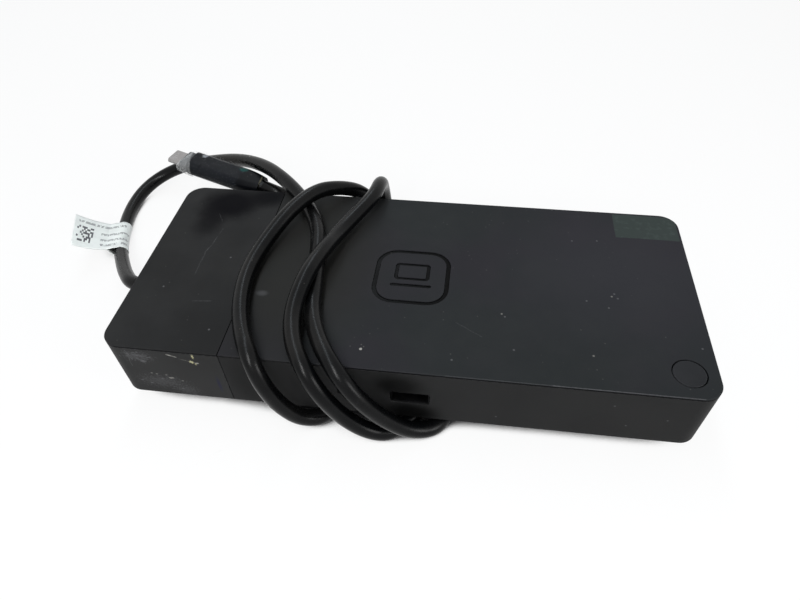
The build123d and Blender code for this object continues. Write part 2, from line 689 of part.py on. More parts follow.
def make_lock_plate():
    """The steel plate behind the security slot."""
    y, z = LOCK_YZ
    inner = RIGHT_X - FACE_LEAN - WALL
    plate = block((inner - 1.7, inner - 0.2), (y - 5.5, y + 4.5), (z - 5.6, z + 5.6))
    return plate - bar_x(box_outline(7.0, 3.0), y, z, inner - 4, 6)


# ---------------------------------------------------------------- host cord
CORD_ROUTE = [
    # out of the left end, down to the table and round behind the box
    (-106, -1.6, -1.93), (-115.5, -0.5, -2.6), (-123, 7, -5.5), (-130.5, 17, -9), (-139, 30, -12.5),
    (-146, 47, -15.3), (-150.5, 64, -16.3), (-149, 79, -14.8), (-140.5, 88, -11.2), (-127, 90, -6),
    (-109, 84.5, 1.2), (-90.5, 75.5, 9), (-74, 63, 15), (-60, 48.5, 18),
    # first strand, over the lid to the front
    (-48, 34.5, 17.8), (-39.4, 19.8, 17.8), (-36.3, 4, 17.8), (-33.8, -12, 17.8), (-31.7, -26.2, 17.8),
    (-26, -39.5, 19), (-19, -49.2, 18), (-11.8, -53, 9), (-3.8, -51.7, -4), (6, -49.3, -14),
    # under the box to the back and up
    (15.5, -44.5, -16.3), (19, -29, -16.3), (15.5, -10, -16.3), (6, 10, -16.3), (-5, 29, -16.3),
    (-13, 46, -16.3), (-16.5, 56, -12), (-18, 60, 0), (-18, 58, 13.5), (-17, 49.5, 21.8),
    (-18, 37, 23.3),
    # second strand, over the lid and over the first strand
    (-24.5, 25.5, 21), (-29.7, 13, 20.5), (-32.7, -1, 24.2), (-35.8, -15, 24.6), (-37.7, -29, 20.5),
    (-34.5, -41, 19.3), (-29.3, -49.2, 17.5), (-24, -53, 9), (-17.5, -52.5, -4), (-9.2, -51.4, -13.4),
    # under the box again
    (-0.8, -49.1, -16.3), (7.5, -38, -16.3), (8, -20, -16.3), (-2, -1, -16.3), (-12, 17, -16.3),
    (-19.5, 32, -16.3), (-22.5, 45.8, -16.3), (-23.5, 53, -11.5), (-22.5, 54.5, -1),
    (-22.7, 52.5, 9.5), (-26.5, 48.2, 17), (-34, 42.3, 21.6),
    # third strand, over the first one and round to the front
    (-42.6, 35, 24.2), (-50.2, 23.1, 23.7), (-57, 9, 19.5), (-60.3, -7, 17.8), (-58.3, -23, 17.8),
    (-53.5, -36.5, 18.3), (-47.9, -46.7, 19.2), (-43.9, -51.3, 10.1), (-40, -51, -2.5),
    (-34, -49, -13.2),
    # under the box a last time and up to the plug
    (-25.5, -45.1, -16.3), (-21, -31, -16.3), (-24.5, -13, -16.3), (-31.5, 5, -16.3),
    (-37.5, 19, -16.3), (-42.5, 32, -16.3), (-47.5, 44.8, -16.3), (-52.5, 53.5, -12.5),
    (-56, 57.5, -5), (-59.5, 56, 2.3), (-66, 54.2, 6.3),
]


def corner_radii(route):
    """The bend radius at each inner point: as large as its two runs allow."""
    points = [Vector(*point) for point in route]
    radii = []
    for before, here, after in zip(points, points[1:], points[2:]):
        arriving, leaving = here - before, after - here
        half_turn = math.radians(arriving.get_angle(leaving) / 2)
        radii.append(0.45 * min(arriving.length, leaving.length) / math.tan(half_turn))
    return radii


def route_tube(route, radii, diameter):
    """A round bar along a route, its corners rounded by the radii."""
    path = FilletPolyline(*route, radius=radii)
    start = Plane(origin=path @ 0, z_dir=path % 0)
    return path, sweep(start * Circle(diameter / 2), path)


def make_cord():
    """The host cord from the boot to the plug's strain relief, cut flush with the boot."""
    radii = corner_radii(CORD_ROUTE)
    path, tube = route_tube(CORD_ROUTE, radii, CORD_D)
    print("cord bend radii:", [round(radius, 1) for radius in radii])
    print("cord length:", round(path.length, 1), "volume ratio:",
          round(tube.volume / (path.length * math.pi * (CORD_D / 2) ** 2), 4))
    return tube - block((LEFT_X - BOOT_OUT, LEFT_X), (-10, 10), (-10, 10))


def rod_x(start, end, r_start, r_end=None):
    """A round bar or cone along X through the cord's way out."""
    plane = Plane(origin=(start, CORD_EXIT.Y, CORD_EXIT.Z), x_dir=(0, 1, 0), z_dir=(1, 0, 0))
    if r_end is None:
        return extrude(plane * Circle(r_start), end - start)
    return loft([plane * Circle(r_start), plane.offset(end - start) * Circle(r_end)])


def make_cord_boot():
    """The moulded boot: outer cone, neck through the wall and inner flange."""
    neck_end = LEFT_X + WALL + 0.4
    cone = rod_x(LEFT_X - BOOT_OUT, LEFT_X, CORD_D / 2 + 0.5, 4.9)
    neck = rod_x(LEFT_X - 0.1, neck_end + 0.1, 3.95)
    return cone + neck + rod_x(neck_end, LEAD_X[0], 6.0)


def make_inner_lead():
    """The cord's short stripped end inside the module."""
    return rod_x(*LEAD_X, LEAD_D / 2)


def make_lead_socket():
    """The connector that takes the inner lead on the module's board."""
    start = LEAD_X[1]
    return block((start, start + 7.0), (CORD_EXIT.Y - 6, CORD_EXIT.Y + 6), (BOARD_TOP, BOARD_TOP + 4.6))


# ---------------------------------------------------------------- plug
def plug_plane(distance):
    """A plane across the plug at a distance from its rear end, X along its width."""
    across = PLUG_AXIS.cross(Vector(0, 0, 1)).normalized()
    wide = across.rotate(Axis((0, 0, 0), PLUG_AXIS), PLUG_ROLL)
    return Plane(origin=PLUG_REAR + PLUG_AXIS * distance, x_dir=wide, z_dir=PLUG_AXIS)


def make_plug_overmold():
    """The plug's grip: a flat rounded body that narrows at its rear."""
    sizes = [(0.0, 9.2, 6.7), (5.0, 11.2, 6.9), (PLUG_TAPER, PLUG_W, PLUG_T)]
    sections = [plug_plane(d) * RectangleRounded(w, t, 2.9) for d, w, t in sizes]
    return loft(sections) + extrude(sections[-1], PLUG_LEN - PLUG_TAPER)


def make_plug_nose():
    """The narrower collar that carries the metal shell."""
    return extrude(plug_plane(PLUG_LEN) * RectangleRounded(10.6, 4.9, 2.2), NOSE_LEN)


def make_plug_shell():
    """The drawn steel shell with its open mouth."""
    start = PLUG_LEN + NOSE_LEN
    shell = extrude(plug_plane(start) * SlotOverall(8.34, 2.5), 7.4)
    return shell - extrude(plug_plane(start + 0.8) * SlotOverall(7.6, 1.8), 8)


def make_plug_contacts():
    """The contact insert inside the shell, a slotted block."""
    start = PLUG_LEN + NOSE_LEN + 0.8
    insert = extrude(plug_plane(start) * SlotOverall(7.5, 1.7), 5.6)
    return insert - extrude(plug_plane(start + 1.0) * Rectangle(6.0, 0.75), 8)


def make_plug_sleeve():
    """The clear slip-on sleeve round the grip, standing past its front."""
    thick, gap, past = 0.5, 0.12, 5.4
    start = PLUG_TAPER + 0.2
    outside = RectangleRounded(PLUG_W + 2 * (gap + thick), PLUG_T + 2 * (gap + thick), 3.4)
    inside = RectangleRounded(PLUG_W + 2 * gap, PLUG_T + 2 * gap, 2.9)
    return extrude(plug_plane(start) * (outside - inside), PLUG_LEN - start + past)


def make_plug_relief():
    """The curved strain relief between cord and grip, with a collar that swells into the grip."""
    before, small = Vector(*CORD_ROUTE[-2]), Vector(*CORD_ROUTE[-1])
    path = Spline(small, PLUG_REAR, tangents=[small - before, PLUG_AXIS])
    start = Plane(origin=path @ 0, z_dir=path % 0)
    relief = sweep(start * Circle(RELIEF_R), path)
    collar = [plug_plane(-RELIEF_COLLAR) * Circle(RELIEF_R - 0.4), plug_plane(0) * Circle(RELIEF_R + 0.3)]
    return relief + loft(collar)


# ---------------------------------------------------------------- label
LABEL_AT = Vector(-142.2, 37.0, -13.8)  # on the cord's centre line
LABEL_ALONG = Vector(-0.36, 0.93, -0.12).normalized()
LABEL_OUT = Vector(-0.84, -0.30, 0.46)
LABEL_W = 23.6
LABEL_L = 20.5                         # from the cord's centre line to the free end
LABEL_ROOT = 2.5                       # where the two faces meet, inside the wrap
LABEL_THICK = 0.4


def make_label_flag():
    """The blank paper flag folded round the cord, its two faces stuck together past it."""
    out = (LABEL_OUT - LABEL_ALONG * LABEL_OUT.dot(LABEL_ALONG)).normalized()
    plane = Plane(origin=LABEL_AT, x_dir=out, z_dir=LABEL_ALONG)
    bore_d = CORD_D + 0.1
    route, radii = CORD_ROUTE[1:8], corner_radii(CORD_ROUTE)[1:6]
    bore = route_tube(route, radii, bore_d)[1]
    wrap = route_tube(route, radii, bore_d + 2 * LABEL_THICK)[1]
    wrap &= extrude(plane * Rectangle(20, 20), LABEL_W / 2, both=True)
    tail = Pos((LABEL_L + LABEL_ROOT) / 2, 0) * Rectangle(LABEL_L - LABEL_ROOT, 2 * LABEL_THICK)
    return wrap + extrude(plane * tail, LABEL_W / 2, both=True) - bore


# ---------------------------------------------------------------- nodes
def build_nodes():
    """Every node of the dock, by name."""
    front_a, front_a_tongue = make_usb_a(FRONT_USB_A_X, -1)
    front_c, front_c_tongue = make_usb_c(FRONT_USB_C_X, -1)
    rear_a = [make_usb_a(x, 1) for x in REAR_USB_A_X]
    rear_c, rear_c_tongue = make_usb_c(REAR_USB_C_X, 1)
    module_c, module_c_tongue = make_usb_c(MODULE_USB_C_X, 1)
    wide, wide_tongue = make_wide_video()
    latched = [make_latched_video(x) for x in LATCHED_VIDEO_X]
    return {
        "top_cover": make_top_cover(),
        "module_cover": make_module_cover(),
        "emblem_inlay": make_emblem_inlay(),
        "main_walls": make_main_walls(),
        "module_walls": make_module_walls(),
        "base_cover": make_base_cover(),
        "module_base": make_module_base(),
        "rubber_feet": make_feet(),
        "base_screws": case_screws(MAIN_BOSSES),
        "module_screws": case_screws(MODULE_BOSSES),
        "power_button": make_power_button(),
        "tactile_switch": make_tactile_switch(),
        "switch_plunger": make_switch_plunger(),
        "switch_board": make_switch_board(),
        "switch_pegs": make_switch_pegs(),
        "main_board": make_main_board(),
        "module_board": make_module_board(),
        "board_screws": make_board_screws(),
        "link_socket": make_link_socket(),
        "link_plug": make_link_plug(),
        "hub_chips": make_hub_chips(),
        "power_coils": make_power_coils(),
        "capacitors": make_capacitors(),
        "heat_sink": make_heat_sink(),
        "chip_shield": make_chip_shield(),
        "fan_frame": make_fan_frame(),
        "fan_impeller": make_fan_impeller(),
        "front_usb_a_shell": front_a,
        "front_usb_a_tongue": front_a_tongue,
        "front_usb_c_shell": front_c,
        "front_usb_c_tongue": front_c_tongue,
        "rear_usb_a_shells": grouped([shell for shell, _ in rear_a]),
        "rear_usb_a_tongues": grouped([tongue for _, tongue in rear_a]),
        "rear_usb_c_shell": rear_c,
        "rear_usb_c_tongue": rear_c_tongue,
        "module_usb_c_shell": module_c,
        "module_usb_c_tongue": module_c_tongue,
        "wide_video_shell": wide,
        "wide_video_tongue": wide_tongue,
        "latched_video_shells": grouped([shell for shell, _ in latched]),
        "latched_video_tongues": grouped([tongue for _, tongue in latched]),
        "network_jack": make_network_jack(),
        "network_contacts": make_network_contacts(),
        "power_inlet": make_power_inlet(),
        "inlet_pin": make_inlet_pin(),
        "headset_jack": make_headset_jack(),
        "lock_plate": make_lock_plate(),
        "cord_boot": make_cord_boot(),
        "inner_lead": make_inner_lead(),
        "lead_socket": make_lead_socket(),
        "host_cord": make_cord(),
        "plug_relief": make_plug_relief(),
        "plug_overmold": make_plug_overmold(),
        "plug_sleeve": make_plug_sleeve(),
        "plug_nose": make_plug_nose(),
        "plug_shell": make_plug_shell(),
        "plug_contacts": make_plug_contacts(),
        "label_flag": make_label_flag(),
    }


def main():
    """Build every node and write one STEP file for each."""
    os.makedirs("parts", exist_ok=True)
    for name, shape in build_nodes().items():
        export_step(shape, f"parts/{name}.step")


main()
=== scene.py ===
import logging
import math
from dataclasses import dataclass
from enum import Enum
from typing import Callable, ClassVar, Optional, Sequence

import bmesh
import bpy
from mathutils import Matrix, Vector


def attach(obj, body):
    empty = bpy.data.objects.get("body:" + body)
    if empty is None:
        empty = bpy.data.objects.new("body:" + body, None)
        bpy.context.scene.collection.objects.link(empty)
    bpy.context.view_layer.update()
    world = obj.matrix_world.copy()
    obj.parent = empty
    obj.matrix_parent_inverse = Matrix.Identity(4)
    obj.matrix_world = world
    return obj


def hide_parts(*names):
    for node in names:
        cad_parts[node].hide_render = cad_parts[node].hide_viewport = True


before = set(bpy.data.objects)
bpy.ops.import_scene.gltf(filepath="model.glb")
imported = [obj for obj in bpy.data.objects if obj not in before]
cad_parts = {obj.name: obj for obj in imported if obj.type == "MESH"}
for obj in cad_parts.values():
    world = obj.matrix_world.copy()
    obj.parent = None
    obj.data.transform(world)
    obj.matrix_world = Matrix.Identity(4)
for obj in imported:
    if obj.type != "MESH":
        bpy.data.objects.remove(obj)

LOG = logging.getLogger("dock")
MM = 0.001
TABLE_Z = -19.3 * MM
Point = tuple[float, float, float]
Pair = tuple[float, float]
Colour = tuple[float, float, float, float]
Socket = bpy.types.NodeSocket
GOLD: Colour = (0.78, 0.58, 0.24, 1.0)
BARE_METAL = 0.5
BEVEL_SAMPLES = 4
SHARP_ANGLE = math.radians(28)


def grey(level: float, blue: float = 0.0) -> Colour:
    """A near-neutral colour, a little bluer by the second value."""
    return (level, level * (1 + 0.3 * blue), level * (1 + blue), 1.0)


def shade(colour: Colour, factor: float) -> Colour:
    """A colour made darker or lighter by a factor."""
    return tuple(part * factor for part in colour[:3]) + (1.0,)


def metres(point: Sequence[float]) -> Vector:
    """A point given in millimetres, in metres."""
    return Vector(point) * MM


# ------------------------------------------------------------------ shader trees
class Effect(Enum):
    """The shader groups that several finishes share, by the method that builds each."""

    GRAIN = "moulded_grain"
    WEAR = "edge_wear"
    DUST = "settled_dust"
    LINE = "line_mark"
    SPOT = "local_mark"


class Sum(Enum):
    """The steps of arithmetic on plain values."""

    ADD = "ADD"
    SUBTRACT = "SUBTRACT"
    MULTIPLY = "MULTIPLY"
    DIVIDE = "DIVIDE"
    LARGER = "MAXIMUM"
    ABOVE = "GREATER_THAN"
    BELOW = "LESS_THAN"
    SIZE = "ABSOLUTE"
    FRACTION = "FRACT"


class VectorSum(Enum):
    """The steps of arithmetic on vectors."""

    ADD = "ADD"
    SUBTRACT = "SUBTRACT"
    MULTIPLY = "MULTIPLY"
    DIVIDE = "DIVIDE"
    SCALE = "SCALE"
    SNAP = "SNAP"
    DOT = "DOT_PRODUCT"
    LENGTH = "LENGTH"


class Tree:
    """A shader tree with short calls for the nodes that the finishes use."""

    def __init__(self, tree: bpy.types.NodeTree) -> None:
        """Take over a tree and clear it."""
        self.tree = tree
        tree.nodes.clear()

    def node(self, kind: str, **settings: object) -> bpy.types.Node:
        """Add a node.

        Args:
            kind: the node's type without the ShaderNode prefix.
            **settings: its properties.

        Returns:
            The new node.
        """
        made = self.tree.nodes.new("ShaderNode" + kind)
        for name, value in settings.items():
            setattr(made, name, value)
        return made

    def feed(self, socket: Socket, value: object) -> None:
        """Fill an input socket.

        Args:
            socket: the input.
            value: a socket to link, a plain value to set, or None to leave the input alone.
        """
        if isinstance(value, Socket):
            self.tree.links.new(value, socket)
        elif value is not None:
            socket.default_value = value

    def fed(self, kind: str, inputs: dict[object, object], **settings: object) -> bpy.types.Node:
        """Add a node and fill its inputs.

        Args:
            kind: the node's type without the ShaderNode prefix.
            inputs: what goes into each input, by its name or number.
            **settings: the node's properties.

        Returns:
            The new node.
        """
        made = self.node(kind, **settings)
        for slot, value in inputs.items():
            self.feed(made.inputs[slot], value)
        return made

    def object_point(self) -> Socket:
        """The surface point in the piece's own metres."""
        return self.node("TexCoord").outputs["Object"]

    def facing(self) -> Socket:
        """How far the surface looks up, from -1 to 1."""
        return self.split(self.node("NewGeometry").outputs["Normal"])["Z"]

    def split(self, vector: object) -> dict[str, Socket]:
        """Take a vector apart.

        Args:
            vector: the vector.

        Returns:
            Its three parts by their letters.
        """
        made = self.fed("SeparateXYZ", {0: vector})
        return {letter: made.outputs[letter] for letter in "XYZ"}

    def stretch(self, vector: object, scale: Point) -> Socket:
        """A pattern's coordinates, scaled along the three axes."""
        return self.fed("Mapping", {"Vector": vector, "Scale": scale}).outputs["Vector"]

    def noise(self, vector: object, cells: object, detail: float = 3.0,
              rough: float = 0.55) -> Socket:
        """Smooth noise.

        Args:
            vector: where it is read.
            cells: its size, in cells per metre.
            detail: how many finer layers it has.
            rough: how strong the finer layers are.

        Returns:
            A value from 0 to 1.
        """
        inputs = {"Vector": vector, "Scale": cells, "Detail": detail, "Roughness": rough}
        return self.fed("TexNoise", inputs).outputs["Fac"]

    def swing(self, vector: object, cells: object, detail: float = 3.0,
              rough: float = 0.55) -> Socket:
        """Smooth noise that swings about 0, by at most a half."""
        return self.minus(self.noise(vector, cells, detail, rough), 0.5)

    def cells(self, vector: object, scale: object) -> Socket:
        """Distance to the nearest of scattered points."""
        return self.fed("TexVoronoi", {"Vector": vector, "Scale": scale}).outputs["Distance"]

    def sums(self, step: Sum, first: object, second: object = None, clamp: bool = False) -> Socket:
        """One step of arithmetic.

        Args:
            step: what is done.
            first: the first value.
            second: the second value, where the step has one.
            clamp: whether the result is kept from 0 to 1.

        Returns:
            The result.
        """
        inputs = {0: first, 1: second}
        return self.fed("Math", inputs, operation=step.value, use_clamp=clamp).outputs[0]

    def plus(self, first: object, second: object) -> Socket:
        """The sum of two values."""
        return self.sums(Sum.ADD, first, second)

    def minus(self, first: object, second: object) -> Socket:
        """The first value less the second."""
        return self.sums(Sum.SUBTRACT, first, second)

    def times(self, first: object, *factors: object, clamp: bool = False) -> Socket:
        """The product of several values.

        Args:
            first: the first value.
            *factors: what it is multiplied by, in order.
            clamp: whether the result is kept from 0 to 1.

        Returns:
            The product.
        """
        product = first
        for factor in factors[:-1]:
            product = self.sums(Sum.MULTIPLY, product, factor)
        return self.sums(Sum.MULTIPLY, product, factors[-1], clamp)

    def vectors(self, step: VectorSum, first: object, second: object = None) -> Socket:
        """One step of vector arithmetic.

        Args:
            step: what is done.
            first: the first vector.
            second: the second vector, or the factor of SCALE.

        Returns:
            The resulting vector, or the value of DOT and LENGTH.
        """
        slot = "Scale" if step is VectorSum.SCALE else 1
        made = self.fed("VectorMath", {0: first, slot: second}, operation=step.value)
        plain = step in (VectorSum.DOT, VectorSum.LENGTH)
        return made.outputs["Value" if plain else "Vector"]

    def ramp(self, value: object, low: object, high: object, to_low: float = 0.0,
             to_high: float = 1.0) -> Socket:
        """Map a stretch of values smoothly onto another.

        Args:
            value: the value to map.
            low: where the stretch begins.
            high: where it ends.
            to_low: the result at its beginning.
            to_high: the result at its end.

        Returns:
            The mapped value.
        """
        inputs = dict(enumerate((value, low, high, to_low, to_high)))
        return self.fed("MapRange", inputs, interpolation_type="SMOOTHSTEP").outputs["Result"]

    def between(self, data: str, kind: str, factor: object, first: object,
                second: object) -> Socket:
        """Mix two inputs of one kind.

        Args:
            data: the Mix node's data type.
            kind: the type of its sockets.
            factor: how much of the second there is.
            first: the first input.
            second: the second input.

        Returns:
            The mixed output.
        """
        made = self.node("Mix", data_type=data)
        self.feed(made.inputs["Factor"], factor)
        pair = [slot for slot in made.inputs if slot.type == kind and slot.name in ("A", "B")]
        for slot, given in zip(pair, (first, second)):
            self.feed(slot, given)
        return next(slot for slot in made.outputs if slot.type == kind)

    def blend(self, factor: object, first: object, second: object) -> Socket:
        """Mix two colours."""
        return self.between("RGBA", "RGBA", factor, first, second)

    def mix(self, factor: object, first: object, second: object) -> Socket:
        """Mix two values."""
        return self.between("FLOAT", "VALUE", factor, first, second)

    def group(self, effect: Effect, **inputs: object) -> Socket:
        """Place a shared effect with its own values.

        Args:
            effect: which effect.
            **inputs: what goes into its inputs, by their names in small letters.

        Returns:
            What the effect puts out.
        """
        made = self.node("Group")
        made.node_tree = Effects.get(effect)
        for name, value in inputs.items():
            self.feed(made.inputs[name.title()], value)
        return made.outputs[0]


@dataclass(frozen=True)
class Patches:
    """Areas where smooth noise rises from a low value to a high one."""

    cells: float
    detail: float
    low: float
    high: float
    rough: float = 0.55

    def on(self, t: Tree, point: object, outside: float = 0.0, inside: float = 1.0) -> Socket:
        """The areas on a surface.

        Args:
            t: the tree.
            point: the surface point.
            outside: the value away from them.
            inside: the value in their middle.

        Returns:
            The value all over the surface.
        """
        noise = t.noise(point, self.cells, self.detail, self.rough)
        return t.ramp(noise, self.low, self.high, outside, inside)


class Effects:
    """The shader groups that several finishes share, each built once."""

    ORIGIN: Point = (0.0, 0.0, 0.0)
    NOISE_SHARE, PIT_SHARE = 0.6, 0.4
    PIT_BAND: Pair = (0.1, 0.6)
    EDGE_BAND: Pair = (0.01, 0.16)
    RUBBED = Patches(900.0, 4.0, 0.42, 0.62, 0.65)
    UPWARD_BAND: Pair = (0.1, 0.9)
    UPWARD_SHARE: Pair = (0.25, 1.0)
    DUST_CLOUD = Patches(38.0, 5.0, 0.4, 0.75, 0.6)
    SPECKLED = Patches(160.0, 1.0, 0.56, 0.62)
    SPECK_CELLS = 420.0
    SPECK_BAND: Pair = (0.13, 0.07)
    BEND_CELLS = 160.0
    BEND_WAY: Point = (1.0, 0.7, 0.7)
    LINE_CORE = 0.35
    BITTEN = Patches(1400.0, 3.0, 0.40, 0.56, 0.6)
    RAGGED_SWING = 4.0

    built: dict[Effect, bpy.types.NodeTree] = {}

    @classmethod
    def get(cls, effect: Effect) -> bpy.types.NodeTree:
        """A shared effect, built on its first use.

        Args:
            effect: which effect.

        Returns:
            Its group.
        """
        if effect not in cls.built:
            cls.built[effect] = getattr(cls, effect.value)()
        return cls.built[effect]

    @classmethod
    def start(cls, effect: Effect, inputs: dict[str, object],
              result: str) -> tuple[Tree, bpy.types.Node, Socket]:
        """Open a group with its sockets, the surface point first.

        Args:
            effect: which effect it is.
            inputs: the other sockets' names with default values; a tuple makes a vector socket.
            result: the name of the value that it puts out.

        Returns:
            The tree helper, what is given to the group by name, and the socket of its result.
        """
        tree = bpy.data.node_groups.new(effect.value, "ShaderNodeTree")
        for name, value in {"Point": cls.ORIGIN, **inputs}.items():
            kind = "NodeSocketVector" if isinstance(value, tuple) else "NodeSocketFloat"
            made = tree.interface.new_socket(name, in_out="INPUT", socket_type=kind)
            made.default_value = value
        tree.interface.new_socket(result, in_out="OUTPUT", socket_type="NodeSocketFloat")
        helper = Tree(tree)
        given = tree.nodes.new("NodeGroupInput").outputs
        return helper, given, tree.nodes.new("NodeGroupOutput").inputs[result]

    @classmethod
    def moulded_grain(cls) -> bpy.types.NodeTree:
        """The fine spark-eroded grain of moulded plastic.

        Returns:
            A group that puts out a height.
        """
        t, given, result = cls.start(Effect.GRAIN, {"Scale": 3000.0}, "Height")
        fine = t.noise(given["Point"], given["Scale"], 2.0, 0.6)
        pits = t.ramp(t.cells(given["Point"], given["Scale"]), *cls.PIT_BAND)
        t.feed(result, t.plus(t.times(fine, cls.NOISE_SHARE), t.times(pits, cls.PIT_SHARE)))
        return t.tree

    @classmethod
    def edge_wear(cls) -> bpy.types.NodeTree:
        """Rubbed edges, broken up by noise.

        Returns:
            A group that puts out a mask.
        """
        t, given, result = cls.start(Effect.WEAR, {"Width": 0.4 * MM, "Amount": 0.5}, "Mask")
        rounded = t.fed("Bevel", {"Radius": given["Width"]}, samples=BEVEL_SAMPLES)
        plain = t.node("NewGeometry")
        dot = t.vectors(VectorSum.DOT, rounded.outputs["Normal"], plain.outputs["Normal"])
        edge = t.ramp(t.minus(1.0, dot), *cls.EDGE_BAND)
        rubbed = cls.RUBBED.on(t, given["Point"])
        t.feed(result, t.times(edge, rubbed, given["Amount"], clamp=True))
        return t.tree

    @classmethod
    def settled_dust(cls) -> bpy.types.NodeTree:
        """Dust: a thin uneven veil on upward faces, with single specks.

        Returns:
            A group that puts out a mask.
        """
        t, given, result = cls.start(Effect.DUST, {"Veil": 0.1, "Specks": 0.5}, "Mask")
        upward = t.ramp(t.facing(), *cls.UPWARD_BAND, *cls.UPWARD_SHARE)
        veil = t.times(cls.DUST_CLOUD.on(t, given["Point"]), given["Veil"])
        speck = t.ramp(t.cells(given["Point"], cls.SPECK_CELLS), *cls.SPECK_BAND)
        specks = t.times(speck, cls.SPECKLED.on(t, given["Point"]), given["Specks"])
        t.feed(result, t.times(t.plus(veil, specks), upward, clamp=True))
        return t.tree

    @classmethod
    def line_mark(cls) -> bpy.types.NodeTree:
        """A thin scratch from one point to another, broken up along its way.

        Returns:
            A group that puts out a mask.
        """
        t, given, result = cls.start(Effect.LINE, {
            "Start": cls.ORIGIN, "End": (0.01, 0.0, 0.0), "Width": 0.3 * MM, "Broken": 0.5,
            "Bend": 0.5 * MM}, "Mask")
        drift = t.times(t.swing(given["Point"], cls.BEND_CELLS, 2.0), given["Bend"])
        here = t.vectors(VectorSum.ADD, given["Point"],
                         t.vectors(VectorSum.SCALE, cls.BEND_WAY, drift))
        way = t.vectors(VectorSum.SUBTRACT, given["End"], given["Start"])
        from_start = t.vectors(VectorSum.SUBTRACT, here, given["Start"])
        share = t.sums(Sum.DIVIDE, t.vectors(VectorSum.DOT, from_start, way),
                       t.vectors(VectorSum.DOT, way, way), clamp=True)
        aside = t.vectors(VectorSum.SUBTRACT, from_start, t.vectors(VectorSum.SCALE, way, share))
        line = t.ramp(t.vectors(VectorSum.LENGTH, aside), given["Width"],
                      t.times(given["Width"], cls.LINE_CORE))
        whole = t.mix(given["Broken"], 1.0, cls.BITTEN.on(t, given["Point"]))
        t.feed(result, t.times(line, whole, clamp=True))
        return t.tree

    @classmethod
    def local_mark(cls) -> bpy.types.NodeTree:
        """A soft-edged mark at one place, ragged by noise.

        Returns:
            A group that puts out a mask.
        """
        t, given, result = cls.start(Effect.SPOT, {
            "Centre": cls.ORIGIN, "Reach": (0.01, 0.01, 0.01), "Ragged": 0.5, "Grain": 300.0,
            "Core": 0.55}, "Mask")
        away = t.vectors(VectorSum.SUBTRACT, given["Point"], given["Centre"])
        length = t.vectors(VectorSum.LENGTH, t.vectors(VectorSum.DIVIDE, away, given["Reach"]))
        noise = t.swing(given["Point"], given["Grain"], 5.0, 0.7)
        radius = t.plus(length, t.times(noise, cls.RAGGED_SWING, given["Ragged"]))
        t.feed(result, t.ramp(radius, 1.0, given["Core"]))
        return t.tree


# ------------------------------------------------------------------ finishes
@dataclass(frozen=True)
class BlemishOrPaintedLight:
    """One mark on a surface, a blemish or a patch of painted shade or light: its colour and how
    much of it shows.  Its kind gives its outline.
    """

    colour: Colour
    strength: float

    def mask(self, t: Tree, point: object) -> Socket:
        """Where the mark lies."""
        raise NotImplementedError

    def lay(self, t: Tree, point: object, colour: object) -> Socket:
        """Put the mark over a colour."""
        return t.blend(t.times(self.mask(t, point), self.strength), colour, self.colour)


@dataclass(frozen=True)
class Spot(BlemishOrPaintedLight):
    """A scuff, speck or stain, or a patch of painted shade or light, round one point, in
    millimetres; a low core gives it a soft edge.
    """

    centre: Point
    reach: Point
    ragged: float = 0.15
    grain: float = 900.0
    core: float = 0.55

    def mask(self, t: Tree, point: object) -> Socket:
        """The spot's mask."""
        return t.group(Effect.SPOT, point=point, centre=metres(self.centre),
                       reach=metres(self.reach), ragged=self.ragged, grain=self.grain,
                       core=self.core)


@dataclass(frozen=True)
class Scratch(BlemishOrPaintedLight):
    """A thin line between two points, in millimetres, on a face that squeeze flattens."""

    start: Point
    end: Point
    width: float = 0.25
    broken: float = 0.6
    bend: float = 0.8
    squeeze: Point = (1.0, 1.0, 0.1)

    def flat(self, place: Point) -> Vector:
        """A place in metres with the depth across the face squeezed."""
        return Vector([part * keep for part, keep in zip(metres(place), self.squeeze)])

    def mask(self, t: Tree, point: object) -> Socket:
        """The scratch's mask."""
        return t.group(Effect.LINE, point=t.vectors(VectorSum.MULTIPLY, point, self.squeeze),
                       start=self.flat(self.start), end=self.flat(self.end),
                       width=self.width * MM, broken=self.broken, bend=self.bend * MM)


@dataclass(frozen=True)
class Level(BlemishOrPaintedLight):
    """A stripe all round between two heights, in millimetres."""

    low: float
    high: float
    soft: float = 0.15

    def mask(self, t: Tree, point: object) -> Socket:
        """The stripe's mask.

        Args:
            t: the material's tree.
            point: the surface point.

        Returns:
            The mask.
        """
        height = t.split(point)["Z"]
        low, high, soft = self.low * MM, self.high * MM, self.soft * MM
        return t.times(t.ramp(height, low - soft, low), t.ramp(height, high + soft, high))


